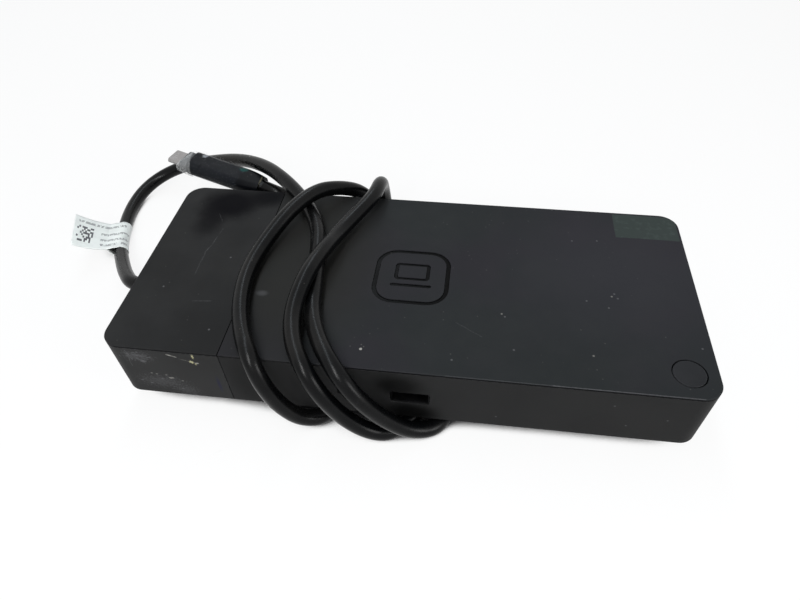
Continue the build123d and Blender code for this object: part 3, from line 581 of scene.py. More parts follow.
@dataclass(frozen=True)
class Finish:
    """What every finish has: a name and a plain surface under its effects."""

    name: str
    colour: Colour
    roughness: float = 0.5
    specular: float = 0.3
    metallic: float = 0.0
    variation: float = 0.12
    drift: Patches = Patches(45.0, 4.0, 0.3, 0.7)
    built: ClassVar[dict[str, bpy.types.Material]] = {}

    def surface(self, t: Tree) -> bpy.types.Node:
        """The Principled shader with its constant values, joined to the output.

        Args:
            t: the material's tree.

        Returns:
            The shader's node.
        """
        shader = t.fed("BsdfPrincipled", {
            "Roughness": self.roughness, "Metallic": self.metallic,
            "Specular IOR Level": self.specular})
        t.fed("OutputMaterial", {"Surface": shader.outputs["BSDF"]})
        return shader

    def tint(self, t: Tree, point: object) -> Socket:
        """The base colour, slightly lighter and darker over the surface."""
        low, high = shade(self.colour, 1 - self.variation), shade(self.colour, 1 + self.variation)
        return t.blend(self.drift.on(t, point), low, high)

    def material(self) -> bpy.types.Material:
        """The finished material, built once.

        Returns:
            The material.
        """
        if self.name not in self.built:
            made = bpy.data.materials.new(self.name)
            made.use_nodes = True
            self.paint(Tree(made.node_tree))
            self.built[self.name] = made
        return self.built[self.name]

    def paint(self, t: Tree) -> None:
        """Fill the material's tree; each finish has its own way."""
        raise NotImplementedError

    @staticmethod
    def relief(t: Tree, shader: bpy.types.Node, height: object, distance: float,
               strength: float = 1.0, edge: float = 0.0) -> None:
        """Feed a height into the shader's normal, over softly rounded edges.

        Args:
            t: the material's tree.
            shader: the Principled shader.
            height: the height, 0 to 1.
            distance: metres that a height of 1 stands for.
            strength: how much of it shows.
            edge: radius of the softened edges, in metres.
        """
        bump = t.fed("Bump", {"Distance": distance, "Strength": strength, "Height": height})
        if edge:
            soft = t.fed("Bevel", {"Radius": edge}, samples=BEVEL_SAMPLES)
            t.feed(bump.inputs["Normal"], soft.outputs["Normal"])
        t.feed(shader.inputs["Normal"], bump.outputs["Normal"])


@dataclass(frozen=True)
class MouldedPlastic(Finish):
    """Moulded plastic with grain, rubbed edges, dust and any local marks."""

    grain: float = 2600.0
    grain_height: float = 0.03 * MM
    grain_strength: float = 0.5
    wear: float = 0.3
    wear_width: float = 0.5 * MM
    wear_colour: Colour = (0.09, 0.09, 0.095, 1.0)
    veil: float = 0.1
    specks: float = 0.4
    dust_colour: Colour = (0.28, 0.27, 0.25, 1.0)
    edge: float = 0.25 * MM
    uneven: Patches = Patches(90.0, 4.0, 0.25, 0.75)
    smoother: float = 0.05
    rougher: float = 0.06
    marks: tuple[BlemishOrPaintedLight, ...] = ()

    def paint(self, t: Tree) -> None:
        """Layer grain, wear, dust and marks over the plastic.

        Args:
            t: the material's tree.
        """
        point = t.object_point()
        shader = self.surface(t)
        worn = t.group(Effect.WEAR, point=point, width=self.wear_width, amount=self.wear)
        colour = t.blend(worn, self.tint(t, point), self.wear_colour)
        dust = t.group(Effect.DUST, point=point, veil=self.veil, specks=self.specks)
        colour = t.blend(dust, colour, self.dust_colour)
        for mark in self.marks:
            colour = mark.lay(t, point, colour)
        t.feed(shader.inputs["Base Color"], self.extra(t, point, shader, colour))
        rough = self.uneven.on(t, point, self.roughness - self.smoother,
                               self.roughness + self.rougher)
        t.feed(shader.inputs["Roughness"], self.gloss(t, point, rough))
        grain = t.group(Effect.GRAIN, point=point, scale=self.grain)
        self.relief(t, shader, grain, self.grain_height, self.grain_strength, self.edge)

    def extra(self, t: Tree, point: object, shader: bpy.types.Node, colour: object) -> object:
        """A last change to the colour; none on plain plastic."""
        return colour

    def gloss(self, t: Tree, point: object, rough: object) -> object:
        """A last change to the roughness; none on plain plastic."""
        return rough


@dataclass(frozen=True)
class LidPlastic(MouldedPlastic):
    """The lid's plastic with the glossy rectangle that a strip of tape has left, its lighter colour
    partly a painted reflection.
    """

    drift: Patches = Patches(24.0, 3.0, 0.35, 0.65)
    violet: Point = (1.0, 0.97, 1.12)
    green: Point = (0.90, 1.0, 1.05)
    tape_x: Pair = (77.0 * MM, 101.8 * MM)
    tape_y: Pair = (29.2 * MM, 44.0 * MM)
    tape_edge: float = 0.5 * MM
    tape_wobble: float = 0.6 * MM
    wobble_cells: float = 220.0
    # Lighter than the lid partly as a painted reflection on the tape's gloss.
    tape_colour_with_painted_reflection: Colour = (0.0370, 0.0480, 0.0440, 1.0)
    tape_flecks: Patches = Patches(400.0, 4.0, 0.5, 0.7)
    fleck_shade: float = 1.3
    tape_share: float = 0.8
    tape_roughness: float = 0.36

    def tint(self, t: Tree, point: object) -> Socket:
        """The lid's colour, drifting between a violet and a green cast."""
        casts = [(*(self.colour[0] * part for part in cast), 1.0)
                 for cast in (self.violet, self.green)]
        return t.blend(self.drift.on(t, point), *casts)

    def tape(self, t: Tree, point: object) -> Socket:
        """The tape's rectangle with its slightly wavy edges.

        Args:
            t: the material's tree.
            point: the surface point.

        Returns:
            The rectangle's mask.
        """
        place = t.split(point)
        mask: object = 1.0
        for letter, (low, high) in (("X", self.tape_x), ("Y", self.tape_y)):
            wobble = t.times(t.swing(point, self.wobble_cells, 2.0), self.tape_wobble)
            here = t.plus(place[letter], wobble)
            mask = t.times(mask, t.times(t.ramp(here, low, low + self.tape_edge),
                                         t.ramp(here, high, high - self.tape_edge)))
        return mask

    def extra(self, t: Tree, point: object, shader: bpy.types.Node, colour: object) -> object:
        """Tint the tape's rectangle lighter: the tape's trace with a painted reflection on it.

        Args:
            t: the material's tree.
            point: the surface point.
            shader: the Principled shader; not used.
            colour: the plastic's colour.

        Returns:
            The colour with the rectangle on it.
        """
        film = t.blend(self.tape_flecks.on(t, point), self.tape_colour_with_painted_reflection,
                       shade(self.tape_colour_with_painted_reflection, self.fleck_shade))
        return t.blend(t.times(self.tape(t, point), self.tape_share), colour, film)

    def gloss(self, t: Tree, point: object, rough: object) -> object:
        """Smooth the tape's rectangle."""
        return t.mix(self.tape(t, point), rough, self.tape_roughness)


@dataclass(frozen=True)
class ContactPlastic(MouldedPlastic):
    """A port's insert with gold contact strips across its tongue."""

    pitch: float = 1.0 * MM
    strip_share: float = 0.45
    level_limit: float = 0.9

    def extra(self, t: Tree, point: object, shader: bpy.types.Node, colour: object) -> object:
        """Lay the contact strips on the faces that look up or down.

        Args:
            t: the material's tree.
            point: the surface point.
            shader: the Principled shader.
            colour: the plastic's colour.

        Returns:
            The colour with the strips on it.
        """
        flat = t.sums(Sum.ABOVE, t.sums(Sum.SIZE, t.facing()), self.level_limit)
        along = t.sums(Sum.SIZE, t.sums(Sum.DIVIDE, t.split(point)["X"], self.pitch))
        phase = t.sums(Sum.FRACTION, along)
        strip = t.times(flat, t.sums(Sum.BELOW, phase, self.strip_share))
        t.feed(shader.inputs["Metallic"], strip)
        return t.blend(strip, colour, GOLD)


@dataclass(frozen=True)
class Metal(Finish):
    """Sheet or turned metal with fine brushing and smudges."""

    brush: Point = (1.0, 30.0, 30.0)
    brush_cells: float = 500.0
    brush_band: Pair = (0.3, 0.7)
    brush_depth: float = 0.006 * MM
    brush_strength: float = 0.5
    brush_shade: float = 0.8
    smudges: Patches = Patches(260.0, 4.0, 0.35, 0.7)
    smoother: float = 0.06
    rougher: float = 0.12
    edge: float = 0.12 * MM

    def paint(self, t: Tree) -> None:
        """Brush the metal and smudge its gloss.

        Args:
            t: the material's tree.
        """
        point = t.object_point()
        shader = self.surface(t)
        brushed = t.noise(t.stretch(point, self.brush), self.brush_cells)
        t.feed(shader.inputs["Base Color"], t.blend(
            t.ramp(brushed, *self.brush_band), shade(self.colour, self.brush_shade),
            self.tint(t, point)))
        t.feed(shader.inputs["Roughness"], self.smudges.on(
            t, point, self.roughness - self.smoother, self.roughness + self.rougher))
        self.relief(t, shader, brushed, self.brush_depth, self.brush_strength, self.edge)


@dataclass(frozen=True)
class CordJacket(Finish):
    """The cord's satin jacket with handling marks, dust and pale specks."""

    drift: Patches = Patches(120.0, 4.0, 0.3, 0.7)
    rubs: Patches = Patches(300.0, 5.0, 0.58, 0.78, 0.7)
    rub_share: float = 0.08
    rub_colour: Colour = (0.04, 0.042, 0.05, 1.0)
    veil: float = 0.03
    specks: float = 0.10
    dust_colour: Colour = (0.22, 0.2, 0.18, 1.0)
    uneven: Patches = Patches(420.0, 5.0, 0.3, 0.75, 0.65)
    smoother: float = 0.01
    rougher: float = 0.03
    skin_cells: float = 700.0
    skin_depth: float = 0.003 * MM
    skin_strength: float = 0.5
    fine_cells: float = 5200.0
    fine_share: float = 0.35
    marks: tuple[BlemishOrPaintedLight, ...] = ()

    def paint(self, t: Tree) -> None:
        """Layer handling marks and dust over the jacket.

        Args:
            t: the material's tree.
        """
        point = t.object_point()
        shader = self.surface(t)
        rub = t.times(self.rubs.on(t, point), self.rub_share)
        colour = t.blend(rub, self.tint(t, point), self.rub_colour)
        dust = t.group(Effect.DUST, point=point, veil=self.veil, specks=self.specks)
        colour = t.blend(dust, colour, self.dust_colour)
        for mark in self.marks:
            colour = mark.lay(t, point, colour)
        t.feed(shader.inputs["Base Color"], colour)
        t.feed(shader.inputs["Roughness"], self.uneven.on(
            t, point, self.roughness - self.smoother, self.roughness + self.rougher))
        skin = t.plus(t.times(t.noise(point, self.fine_cells, 2.0), self.fine_share),
                      t.noise(point, self.skin_cells))
        self.relief(t, shader, skin, self.skin_depth, self.skin_strength)


@dataclass(frozen=True)
class CircuitBoard(Finish):
    """Green solder mask with copper runs under it and pale solder dots."""

    run_stretch: Point = (1.0, 3.0, 1.0)
    run_cells: float = 160.0
    run_band: Pair = (0.03, 0.01)
    run_colour: Colour = (0.03, 0.2, 0.09, 1.0)
    run_share: float = 0.6
    pad_cells: float = 300.0
    pad_band: Pair = (0.16, 0.12)
    pad_colour: Colour = (0.5, 0.47, 0.4, 1.0)
    pad_metal: float = 0.8
    height: float = 0.04 * MM

    def paint(self, t: Tree) -> None:
        """Draw runs under the solder mask.

        Args:
            t: the material's tree.
        """
        point = t.object_point()
        shader = self.surface(t)
        runs = t.swing(t.stretch(point, self.run_stretch), self.run_cells, 1.0)
        copper = t.ramp(t.sums(Sum.SIZE, runs), *self.run_band)
        pads = t.ramp(t.cells(point, self.pad_cells), *self.pad_band)
        colour = t.blend(t.times(copper, self.run_share), self.tint(t, point), self.run_colour)
        t.feed(shader.inputs["Base Color"], t.blend(pads, colour, self.pad_colour))
        t.feed(shader.inputs["Metallic"], t.times(pads, self.pad_metal))
        self.relief(t, shader, t.plus(copper, pads), self.height)


@dataclass(frozen=True)
class ClearFilm(Finish):
    """Thin clear film: mostly see-through, hazy where it is creased and at its cut end."""

    haze_from: Point = (0.0, 0.0, 0.0)
    haze_along: Point = (1.0, 0.0, 0.0)
    haze_edge: Pair = (0.4 * MM, 1.2 * MM)
    haze_wave: float = 1.6 * MM
    cloud_cells: float = 420.0
    end_haze: float = 0.6
    crease_band: Pair = (0.60, 0.78)
    crease_haze: float = 0.12
    clear_colour: Colour = (0.10, 0.12, 0.15, 1.0)
    haze_colour: Colour = (0.86, 0.86, 0.84, 1.0)
    edge_blend: float = 0.35
    edge_band: Pair = (0.35, 0.95)
    edge_share: Pair = (0.5, 1.6)
    full_cloud: float = 0.9
    cover: Pair = (0.025, 0.48)
    full_haze: float = 0.7
    gloss_range: Pair = (0.15, 0.4)
    wrinkle_cells: float = 260.0
    wrinkle: float = 0.4 * MM
    wrinkle_strength: float = 0.4

    def paint(self, t: Tree) -> None:
        """Let the film show what is under it, and cloud its free end.

        Args:
            t: the material's tree.
        """
        point = t.object_point()
        shader = self.surface(t)
        ahead = t.vectors(VectorSum.SUBTRACT, point, self.haze_from)
        along = t.vectors(VectorSum.DOT, ahead, self.haze_along)
        cloudy = t.noise(point, self.cloud_cells, 5.0, 0.65)
        end = t.ramp(t.plus(along, t.times(cloudy, self.haze_wave)), *self.haze_edge)
        crease = t.times(t.ramp(cloudy, *self.crease_band), self.crease_haze)
        haze = t.sums(Sum.LARGER, t.times(end, self.end_haze), crease)
        t.feed(shader.inputs["Base Color"], t.blend(haze, self.clear_colour, self.haze_colour))
        edge_on = t.fed("LayerWeight", {"Blend": self.edge_blend}).outputs["Facing"]
        cloud = t.times(haze, t.ramp(edge_on, *self.edge_band, *self.edge_share))
        t.feed(shader.inputs["Alpha"], t.ramp(cloud, 0.0, self.full_cloud, *self.cover))
        rough = t.ramp(haze, 0.0, self.full_haze, *self.gloss_range)
        t.feed(shader.inputs["Roughness"], rough)
        self.relief(t, shader, t.noise(point, self.wrinkle_cells), self.wrinkle,
                    self.wrinkle_strength)


@dataclass(frozen=True)
class PrintedLabel(Finish):
    """Glossy white sticker stock with plain grey bars and a block of scattered squares.

    Places on a face go inwards from its free end and down, both from 0 to 1.
    """

    ink: Colour = (0.09, 0.09, 0.1, 1.0)
    bar_ink: float = 0.62
    square: Pair = (0.0265, 0.064)
    block: tuple[Pair, Pair] = ((0.053, 0.318), (0.32, 0.832))
    top_bar: tuple[Pair, Pair] = ((0.06, 0.84), (0.12, 0.20))
    bar_span: Pair = (0.44, 0.92)
    bar_tops: tuple[float, ...] = (0.40, 0.62, 0.80)
    bar_height: float = 0.08
    gap_cells: Point = (46.0, 9.0, 1.0)
    gap_limit: float = 0.46
    yellowed: Patches = Patches(180.0, 4.0, 0.35, 0.75)
    aged: float = 0.88
    sheen: Patches = Patches(500.0, 3.0, 0.3, 0.7)
    sheen_range: Pair = (0.3, 0.45)
    crumple_cells: float = 240.0
    crumple_band: Pair = (0.35, 0.8)
    crumple_share: Pair = (0.25, 1.0)
    crumple_depth: float = 0.6 * MM
    crumple_strength: float = 0.6

    @staticmethod
    def box(t: Tree, inward: object, down: object, spans: tuple[Pair, Pair]) -> Socket:
        """A rectangle on the label.

        Args:
            t: the material's tree.
            inward: the first coordinate.
            down: the second coordinate.
            spans: the lowest and highest value of each.

        Returns:
            The rectangle's mask.
        """
        across, along = (t.times(t.sums(Sum.ABOVE, place, low), t.sums(Sum.BELOW, place, high))
                         for place, (low, high) in zip((inward, down), spans))
        return t.times(across, along)

    def print_mask(self, t: Tree, inward: Socket, down: Socket) -> Socket:
        """The broken bars and the block of squares.

        Args:
            t: the material's tree.
            inward: the first coordinate.
            down: the second coordinate.

        Returns:
            Where there is ink, and how much.
        """
        spot = t.fed("CombineXYZ", {0: inward, 1: down}).outputs[0]
        snapped = t.vectors(VectorSum.SNAP, spot, (*self.square, 1.0))
        squares = t.fed("TexWhiteNoise", {"Vector": snapped}, noise_dimensions="2D")
        block = t.times(t.sums(Sum.ABOVE, squares.outputs["Value"], 0.5),
                        self.box(t, inward, down, self.block))
        rows = self.box(t, inward, down, self.top_bar)
        for top in self.bar_tops:
            bar = self.box(t, inward, down, (self.bar_span, (top, top + self.bar_height)))
            rows = t.plus(rows, bar)
        noise = t.noise(t.stretch(spot, self.gap_cells), 1.0, 1.0)
        gaps = t.sums(Sum.ABOVE, noise, self.gap_limit)
        return t.sums(Sum.LARGER, block, t.times(rows, gaps, self.bar_ink))

    def paint(self, t: Tree) -> None:
        """Print the bars and squares by the sheet's own UV map, alike on both faces.

        Args:
            t: the material's tree.
        """
        shader = self.surface(t)
        sheet = t.split(t.node("UVMap", uv_map="sheet").outputs["UV"])
        down = t.minus(1.0, sheet["X"])
        inward = t.minus(1.0, t.sums(Sum.SIZE, t.minus(t.times(sheet["Y"], 2.0), 1.0)))
        point = t.object_point()
        paper = t.blend(self.yellowed.on(t, point), self.colour, shade(self.colour, self.aged))
        ink = self.print_mask(t, inward, down)
        t.feed(shader.inputs["Base Color"], t.blend(ink, paper, self.ink))
        t.feed(shader.inputs["Roughness"], self.sheen.on(t, point, *self.sheen_range))
        crumple = t.times(t.noise(point, self.crumple_cells),
                          t.ramp(inward, *self.crumple_band, *self.crumple_share))
        self.relief(t, shader, crumple, self.crumple_depth, self.crumple_strength)


# ------------------------------------------------------------------ marks
LID_TOP = 14.5
FRONT_TOP = -45.0
FRONT_LEAN = 1.0
PALE: Colour = (0.30, 0.29, 0.27, 1.0)
MILKY: Colour = (0.11, 0.11, 0.115, 1.0)
STRAW: Colour = (0.42, 0.40, 0.24, 1.0)
SHADE: Colour = (0.0010, 0.0010, 0.0018, 1.0)
# Near-black for painted shade on the front wall: round the port's slot and the cords' shadow by the
# seam.
FRONT_PAINTED_SHADE: Colour = (0.0010, 0.0010, 0.0010, 1.0)


def on_top(x: float, y: float) -> Point:
    """A place on the lids."""
    return (x, y, LID_TOP)


def on_front(x: float, z: float) -> Point:
    """A place on the front wall, which leans in towards the base."""
    return (x, FRONT_TOP + (LID_TOP - z) * math.tan(math.radians(FRONT_LEAN)), z)


def speck(colour: Colour, strength: float, place: Point, reach: Point) -> Spot:
    """A small sharp-edged spot."""
    return Spot(colour, strength, place, reach, ragged=0.12, grain=1500.0)


@dataclass(frozen=True)
class Face:
    """A face of the case, where marks are placed by two coordinates in millimetres."""

    place: Callable[[float, float], Point]
    squeeze: Point

    def spot(self, colour: Colour, strength: float, place: Pair, *shape: object) -> Spot:
        """A spot on the face; its reach and the rest of its shape follow as in Spot."""
        return Spot(colour, strength, self.place(*place), *shape)

    def line(self, colour: Colour, strength: float, start: Pair, end: Pair,
             *shape: float) -> Scratch:
        """A scratch on the face; its width, breaks and bend follow as in Scratch."""
        ends = self.place(*start), self.place(*end)
        return Scratch(colour, strength, *ends, *shape, squeeze=self.squeeze)

    def specks(self, places: Sequence[Pair], colour: Colour = PALE, strength: float = 0.5,
               reach: Point = (0.45, 0.45, 1.0)) -> tuple[Spot, ...]:
        """Small specks of one kind at several places."""
        return tuple(speck(colour, strength, self.place(*place), reach) for place in places)


TOP = Face(on_top, (1.0, 1.0, 0.1))
FRONT = Face(on_front, (1.0, 0.1, 1.0))

MODULE_FRONT_MARKS = (
    FRONT.spot(MILKY, 0.34, (-90.0, 9.6), (6.5, 1.5, 3.2), 0.95, 1500.0, 0.2),
    FRONT.spot(MILKY, 0.26, (-85.0, -4.4), (11.0, 1.5, 5.0), 1.00, 1300.0, 0.1),
    FRONT.spot(MILKY, 0.22, (-77.0, -8.6), (6.0, 1.5, 4.0), 1.00, 1300.0, 0.1),
    FRONT.line(PALE, 0.80, (-78.4, 12.0), (-75.4, 11.0), 0.38, 0.5, 1.0),
    FRONT.line(PALE, 0.42, (-74.8, 10.1), (-68.9, 8.7), 0.22, 0.7, 1.4),
    FRONT.line(MILKY, 0.80, (-93.2, 12.3), (-92.1, 7.5), 0.25, 0.7, 1.6),
    FRONT.line(MILKY, 0.80, (-91.0, 10.4), (-85.2, 9.3), 0.22, 0.7, 2.4),
    FRONT.line(MILKY, 0.60, (-92.0, 11.4), (-87.2, 12.0), 0.20, 0.7, 2.4),
    FRONT.line(MILKY, 0.60, (-90.4, 8.6), (-88.0, 5.6), 0.20, 0.7, 2.0),
    FRONT.line(MILKY, 0.45, (-93.1, 9.6), (-93.6, 3.3), 0.20, 0.7, 1.2),
    FRONT.spot(MILKY, 0.55, (-88.4, 6.9), (1.5, 1.5, 0.7), 0.6, 1500.0),
    FRONT.spot((0.010, 0.010, 0.045, 1.0), 0.45, (-63.4, -3.0), (1.0, 1.5, 6.5), 0.1, 500.0, 0.1),
    FRONT.spot(STRAW, 0.75, (-69.2, 12.2), (0.45, 1.5, 1.2), 0.9, 2200.0),
    FRONT.spot(STRAW, 0.85, (-70.3, 9.0), (0.8, 1.5, 0.8), 0.9, 2200.0),
    FRONT.spot(STRAW, 0.50, (-69.1, 7.9), (0.4, 1.5, 0.8), 0.8, 2200.0),
    FRONT.spot(PALE, 0.75, (-68.4, 8.6), (0.7, 1.5, 0.4), 0.5, 1600.0),
    FRONT.spot(PALE, 0.50, (-80.9, -1.9), (1.1, 1.5, 0.5), 0.7, 1600.0),
    *FRONT.specks([
        (-87.6, 0.1), (-85.8, -0.2), (-82.3, -0.3), (-77.0, -3.1)], PALE, 0.40, (0.5, 1.5, 0.3)),
    *FRONT.specks([
        (-92.7, -4.9), (-89.6, -6.2), (-84.6, -3.0), (-78.5, -8.2), (-74.5, -11.3)],
            MILKY, 0.5, (0.7, 1.5, 0.4)),
)
MAIN_FRONT_MARKS = (
    *FRONT.specks([
        (76.6, -4.3), (88.5, 1.0), (70.6, 6.5), (34.0, -6.5)], MILKY, 0.5, (0.42, 1.5, 0.34)),
    FRONT.spot((0.10, 0.08, 0.03, 1.0), 0.6, (-19.8, 3.0), (0.8, 1.5, 0.7), 0.2, 1100.0),
    # Painted shade: dark areas above and below the front port's slot, and the cords' shadow beside
    # the seam.
    FRONT.spot(FRONT_PAINTED_SHADE, 0.80, (0.6, 6.2), (13.0, 2.0, 8.5), 0.05, 120.0, 0.20),
    FRONT.spot(FRONT_PAINTED_SHADE, 0.85, (5.0, -8.6), (12.5, 2.0, 7.5), 0.05, 120.0, 0.30),
    FRONT.spot(FRONT_PAINTED_SHADE, 0.45, (-52.0, 0.0), (9.0, 2.0, 18.0), 0.05, 120.0, 0.20),
)
RIM_SHADE = Level(SHADE, 1.00, 13.1, 14.05)
MODULE_LID_MARKS = (
    TOP.spot(SHADE, 1.00, (-81.0, 34.5), (17.5, 15.0, 2.0), 0.12, 90.0, 0.35),
    TOP.spot(SHADE, 0.75, (-86.5, 22.0), (8.5, 13.0, 2.0), 0.10, 90.0, 0.15),
    TOP.spot(SHADE, 0.95, (-67.0, 40.5), (14.0, 9.5, 2.0), 0.08, 90.0, 0.20),
    RIM_SHADE,
    TOP.line(MILKY, 0.22, (-84.1, 27.4), (-80.3, 22.2), 0.28, 0.8, 2.4),
    TOP.line(MILKY, 0.25, (-80.3, 22.2), (-79.0, 18.4), 0.28, 0.8, 2.4),
    TOP.line(MILKY, 0.32, (-79.0, 18.4), (-79.7, 12.8), 0.30, 0.8, 2.4),
    TOP.line(MILKY, 0.40, (-79.7, 12.8), (-81.5, 4.5), 0.36, 0.85, 2.4),
    TOP.line(MILKY, 0.22, (-81.5, 4.5), (-81.3, -9.0), 0.30, 0.85, 2.6),
    TOP.line(MILKY, 0.30, (-77.3, -22.1), (-70.4, -21.3), 0.30, 0.7, 1.0),
    *TOP.specks([(-90.5, -16.0), (-70.6, 2.0), (-66.4, -34.5)], MILKY, 0.8),
)
MAIN_LID_MARKS = (
    RIM_SHADE,
    TOP.spot((0.0215, 0.0215, 0.0200, 1.0), 0.90, (-46.0, 8.0), (44.0, 75.0, 5.0), 0.02, 20.0,
             0.30),
    # Painted light: the lid made lighter over a broad area towards its right end.
    TOP.spot((0.032, 0.031, 0.037, 1.0), 0.60, (78.0, 12.0), (75.0, 60.0, 5.0), 0.02, 20.0, 0.0),
    # Painted highlight: a pale line along the lid's front top edge, fainter on its left part.
    *(Scratch(MILKY, strength, (start, -44.95, 14.42), (end, -44.95, 14.42), 0.26, broken, 0.0,
              squeeze=(1.0, 1.0, 1.0))
      for strength, start, end, broken in ((0.25, 16.0, 52.0, 0.5), (0.55, 50.0, 96.0, 0.35))),
    TOP.spot(PALE, 1.00, (-12.8, -37.1), (0.62, 0.62, 1.0), 0.05, 900.0),
    *TOP.specks([(-12.9, -35.2), (-12.0, -36.0)], PALE, 0.2, (0.3, 0.3, 1.0)),
    TOP.spot(MILKY, 0.35, (-53.1, -15.4), (3.2, 2.0, 1.0), 0.1, 400.0, 0.2),
    *TOP.specks([(63.5, -31.5), (72.2, -3.6), (33.5, -16.2)], PALE, 0.42),
    *TOP.specks([
        (60.1, 25.4), (69.7, 26.4), (63.2, -6.7), (74.2, -4.4), (70.6, -9.3), (34.6, -17.4),
        (37.7, -31.9), (99.0, -24.6), (17.6, -38.3), (73.2, -2.2)], MILKY, 0.6),
    TOP.line(MILKY, 0.25, (18.0, -22.0), (27.0, -27.5), 0.22, 0.7, 1.0),
)
GRIP_MARKS = (
    Spot((0.30, 0.31, 0.33, 1.0), 0.8, (-105.4, 69.4, 13.4), (1.8, 1.6, 1.6), 0.3, 1500.0),
    Spot((0.006, 0.055, 0.048, 1.0), 0.8, (-84.7, 62.6, 12.0), (2.6, 1.9, 1.6), 0.2, 1500.0),
    Spot((0.12, 0.11, 0.07, 1.0), 0.6, (-75.3, 56.6, 8.2), (0.7, 7.0, 6.0), 0.3, 900.0),
)
CORD_MARKS = (
    Spot((0.006, 0.0045, 0.0026, 1.0), 0.50, (-96.0, 77.0, 6.0), (36.0, 22.0, 16.0), 0.0, 60.0,
         0.1),
    *(speck(PALE, 0.7, place, (0.6, 0.6, 0.9)) for place in (
        (-90.5, 75.5, 12.0), (-82.0, 70.0, 14.5), (-84.0, 70.5, 14.0), (-118.0, 87.0, 0.6))),
)


class Finishes:
    """Every finish of the dock, by its own short name."""

    lid = LidPlastic(
        "lid_plastic", grey(0.0208, 0.12), roughness=0.50, specular=0.03, wear=0.06,
        veil=0.012, specks=0.12, marks=MAIN_LID_MARKS)
    module_lid = MouldedPlastic(
        "module_lid_plastic", grey(0.0192, 0.02), roughness=0.50, specular=0.03, wear=0.06,
        veil=0.012, specks=0.12, marks=MODULE_LID_MARKS)
    case = MouldedPlastic(
        "case_plastic", grey(0.0150, 0.02), roughness=0.50, specular=0.04, wear=0.2,
        veil=0.01, specks=0.08, marks=MAIN_FRONT_MARKS)
    module_case = MouldedPlastic(
        "module_case_plastic", grey(0.0230, 0.01), roughness=0.50, specular=0.04, wear=0.4,
        veil=0.01, specks=0.08, marks=MODULE_FRONT_MARKS)
    button = MouldedPlastic(
        "button_plastic", grey(0.0195, 0.14), roughness=0.36, specular=0.05,
        grain_height=0.01 * MM, wear=0.3, veil=0.01, specks=0.05)
    inlay = MouldedPlastic(
        "mark_gloss_black", grey(0.002), roughness=0.30, specular=0.03,
        grain_height=0.002 * MM, wear=0.1, veil=0.0, specks=0.1)
    rubber = MouldedPlastic(
        "foot_rubber", grey(0.02), roughness=0.85, specular=0.2, grain=1500.0, veil=0.3,
        specks=0.5)
    black = MouldedPlastic("inner_black_plastic", grey(0.014), roughness=0.5, specular=0.3)
    chip = MouldedPlastic("chip_epoxy", grey(0.02), roughness=0.55, specular=0.3)
    coil = MouldedPlastic(
        "coil_ferrite", grey(0.09), roughness=0.7, specular=0.3, grain=900.0)
    fan = MouldedPlastic(
        "fan_plastic", grey(0.012), roughness=0.45, specular=0.35, veil=0.25, specks=0.5)
    grip = MouldedPlastic(
        "plug_grip", grey(0.0030, 0.50), roughness=0.32, specular=0.07,
        grain_height=0.004 * MM, veil=0.01, specks=0.3, marks=GRIP_MARKS)
    nose = MouldedPlastic("plug_collar", grey(0.07, 0.08), roughness=0.5, specular=0.12)
    insert = ContactPlastic("port_insert", grey(0.002), roughness=0.5, specular=0.05)
    board = CircuitBoard(
        "circuit_board", (0.012, 0.075, 0.035, 1.0), roughness=0.35, specular=0.5)
    steel = Metal("plated_steel", (0.55, 0.55, 0.57, 1.0), 0.3, BARE_METAL, 1.0)
    # The front ports' shells: steel painted near black, as painted shade in the slots.
    port_steel_painted_shade = Metal("port_steel_painted_shade", (0.012, 0.012, 0.013, 1.0), 0.5, BARE_METAL, 1.0)
    gold = Metal("contact_gold", GOLD, 0.25, BARE_METAL, 1.0)
    can = Metal("capacitor_sleeve", (0.72, 0.73, 0.76, 1.0), 0.3, BARE_METAL, 1.0)
    sink = Metal("heat_sink_metal", (0.6, 0.61, 0.63, 1.0), 0.38, BARE_METAL, 1.0)
    shell = Metal("plug_steel", (0.34, 0.33, 0.33, 1.0), 0.22, BARE_METAL, 1.0)
    cord = CordJacket(
        "cord_jacket", (0.0014, 0.0016, 0.0019, 1.0), roughness=0.27, specular=0.13,
        marks=CORD_MARKS)
    label = PrintedLabel(
        "label_stock", (0.86, 0.89, 0.865, 1.0), roughness=0.35, specular=0.25)


# ------------------------------------------------------------------ carried-over nodes
def smoothing_group() -> bpy.types.NodeTree:
    """The geometry nodes that shade a piece smooth and keep its true edges sharp.

    Returns:
        The node group, built once.
    """
    known = bpy.data.node_groups.get("smooth_by_angle")
    if known:
        return known
    tree = bpy.data.node_groups.new("smooth_by_angle", "GeometryNodeTree")
    for way in ("INPUT", "OUTPUT"):
        tree.interface.new_socket("Geometry", in_out=way, socket_type="NodeSocketGeometry")
    given, out = tree.nodes.new("NodeGroupInput"), tree.nodes.new("NodeGroupOutput")
    faces = tree.nodes.new("GeometryNodeSetShadeSmooth")
    edges = tree.nodes.new("GeometryNodeSetShadeSmooth")
    edges.domain = "EDGE"
    edges.inputs["Shade Smooth"].default_value = False
    angle = tree.nodes.new("GeometryNodeInputMeshEdgeAngle")
    sharp = tree.nodes.new("FunctionNodeCompare")
    sharp.operation = "GREATER_THAN"
    sharp.inputs[1].default_value = SHARP_ANGLE
    for source, target in (
            (angle.outputs["Unsigned Angle"], sharp.inputs[0]),
            (given.outputs[0], faces.inputs["Geometry"]),
            (faces.outputs[0], edges.inputs["Geometry"]),
            (sharp.outputs[0], edges.inputs["Selection"]),
            (edges.outputs[0], out.inputs[0])):
        tree.links.new(source, target)
    return tree


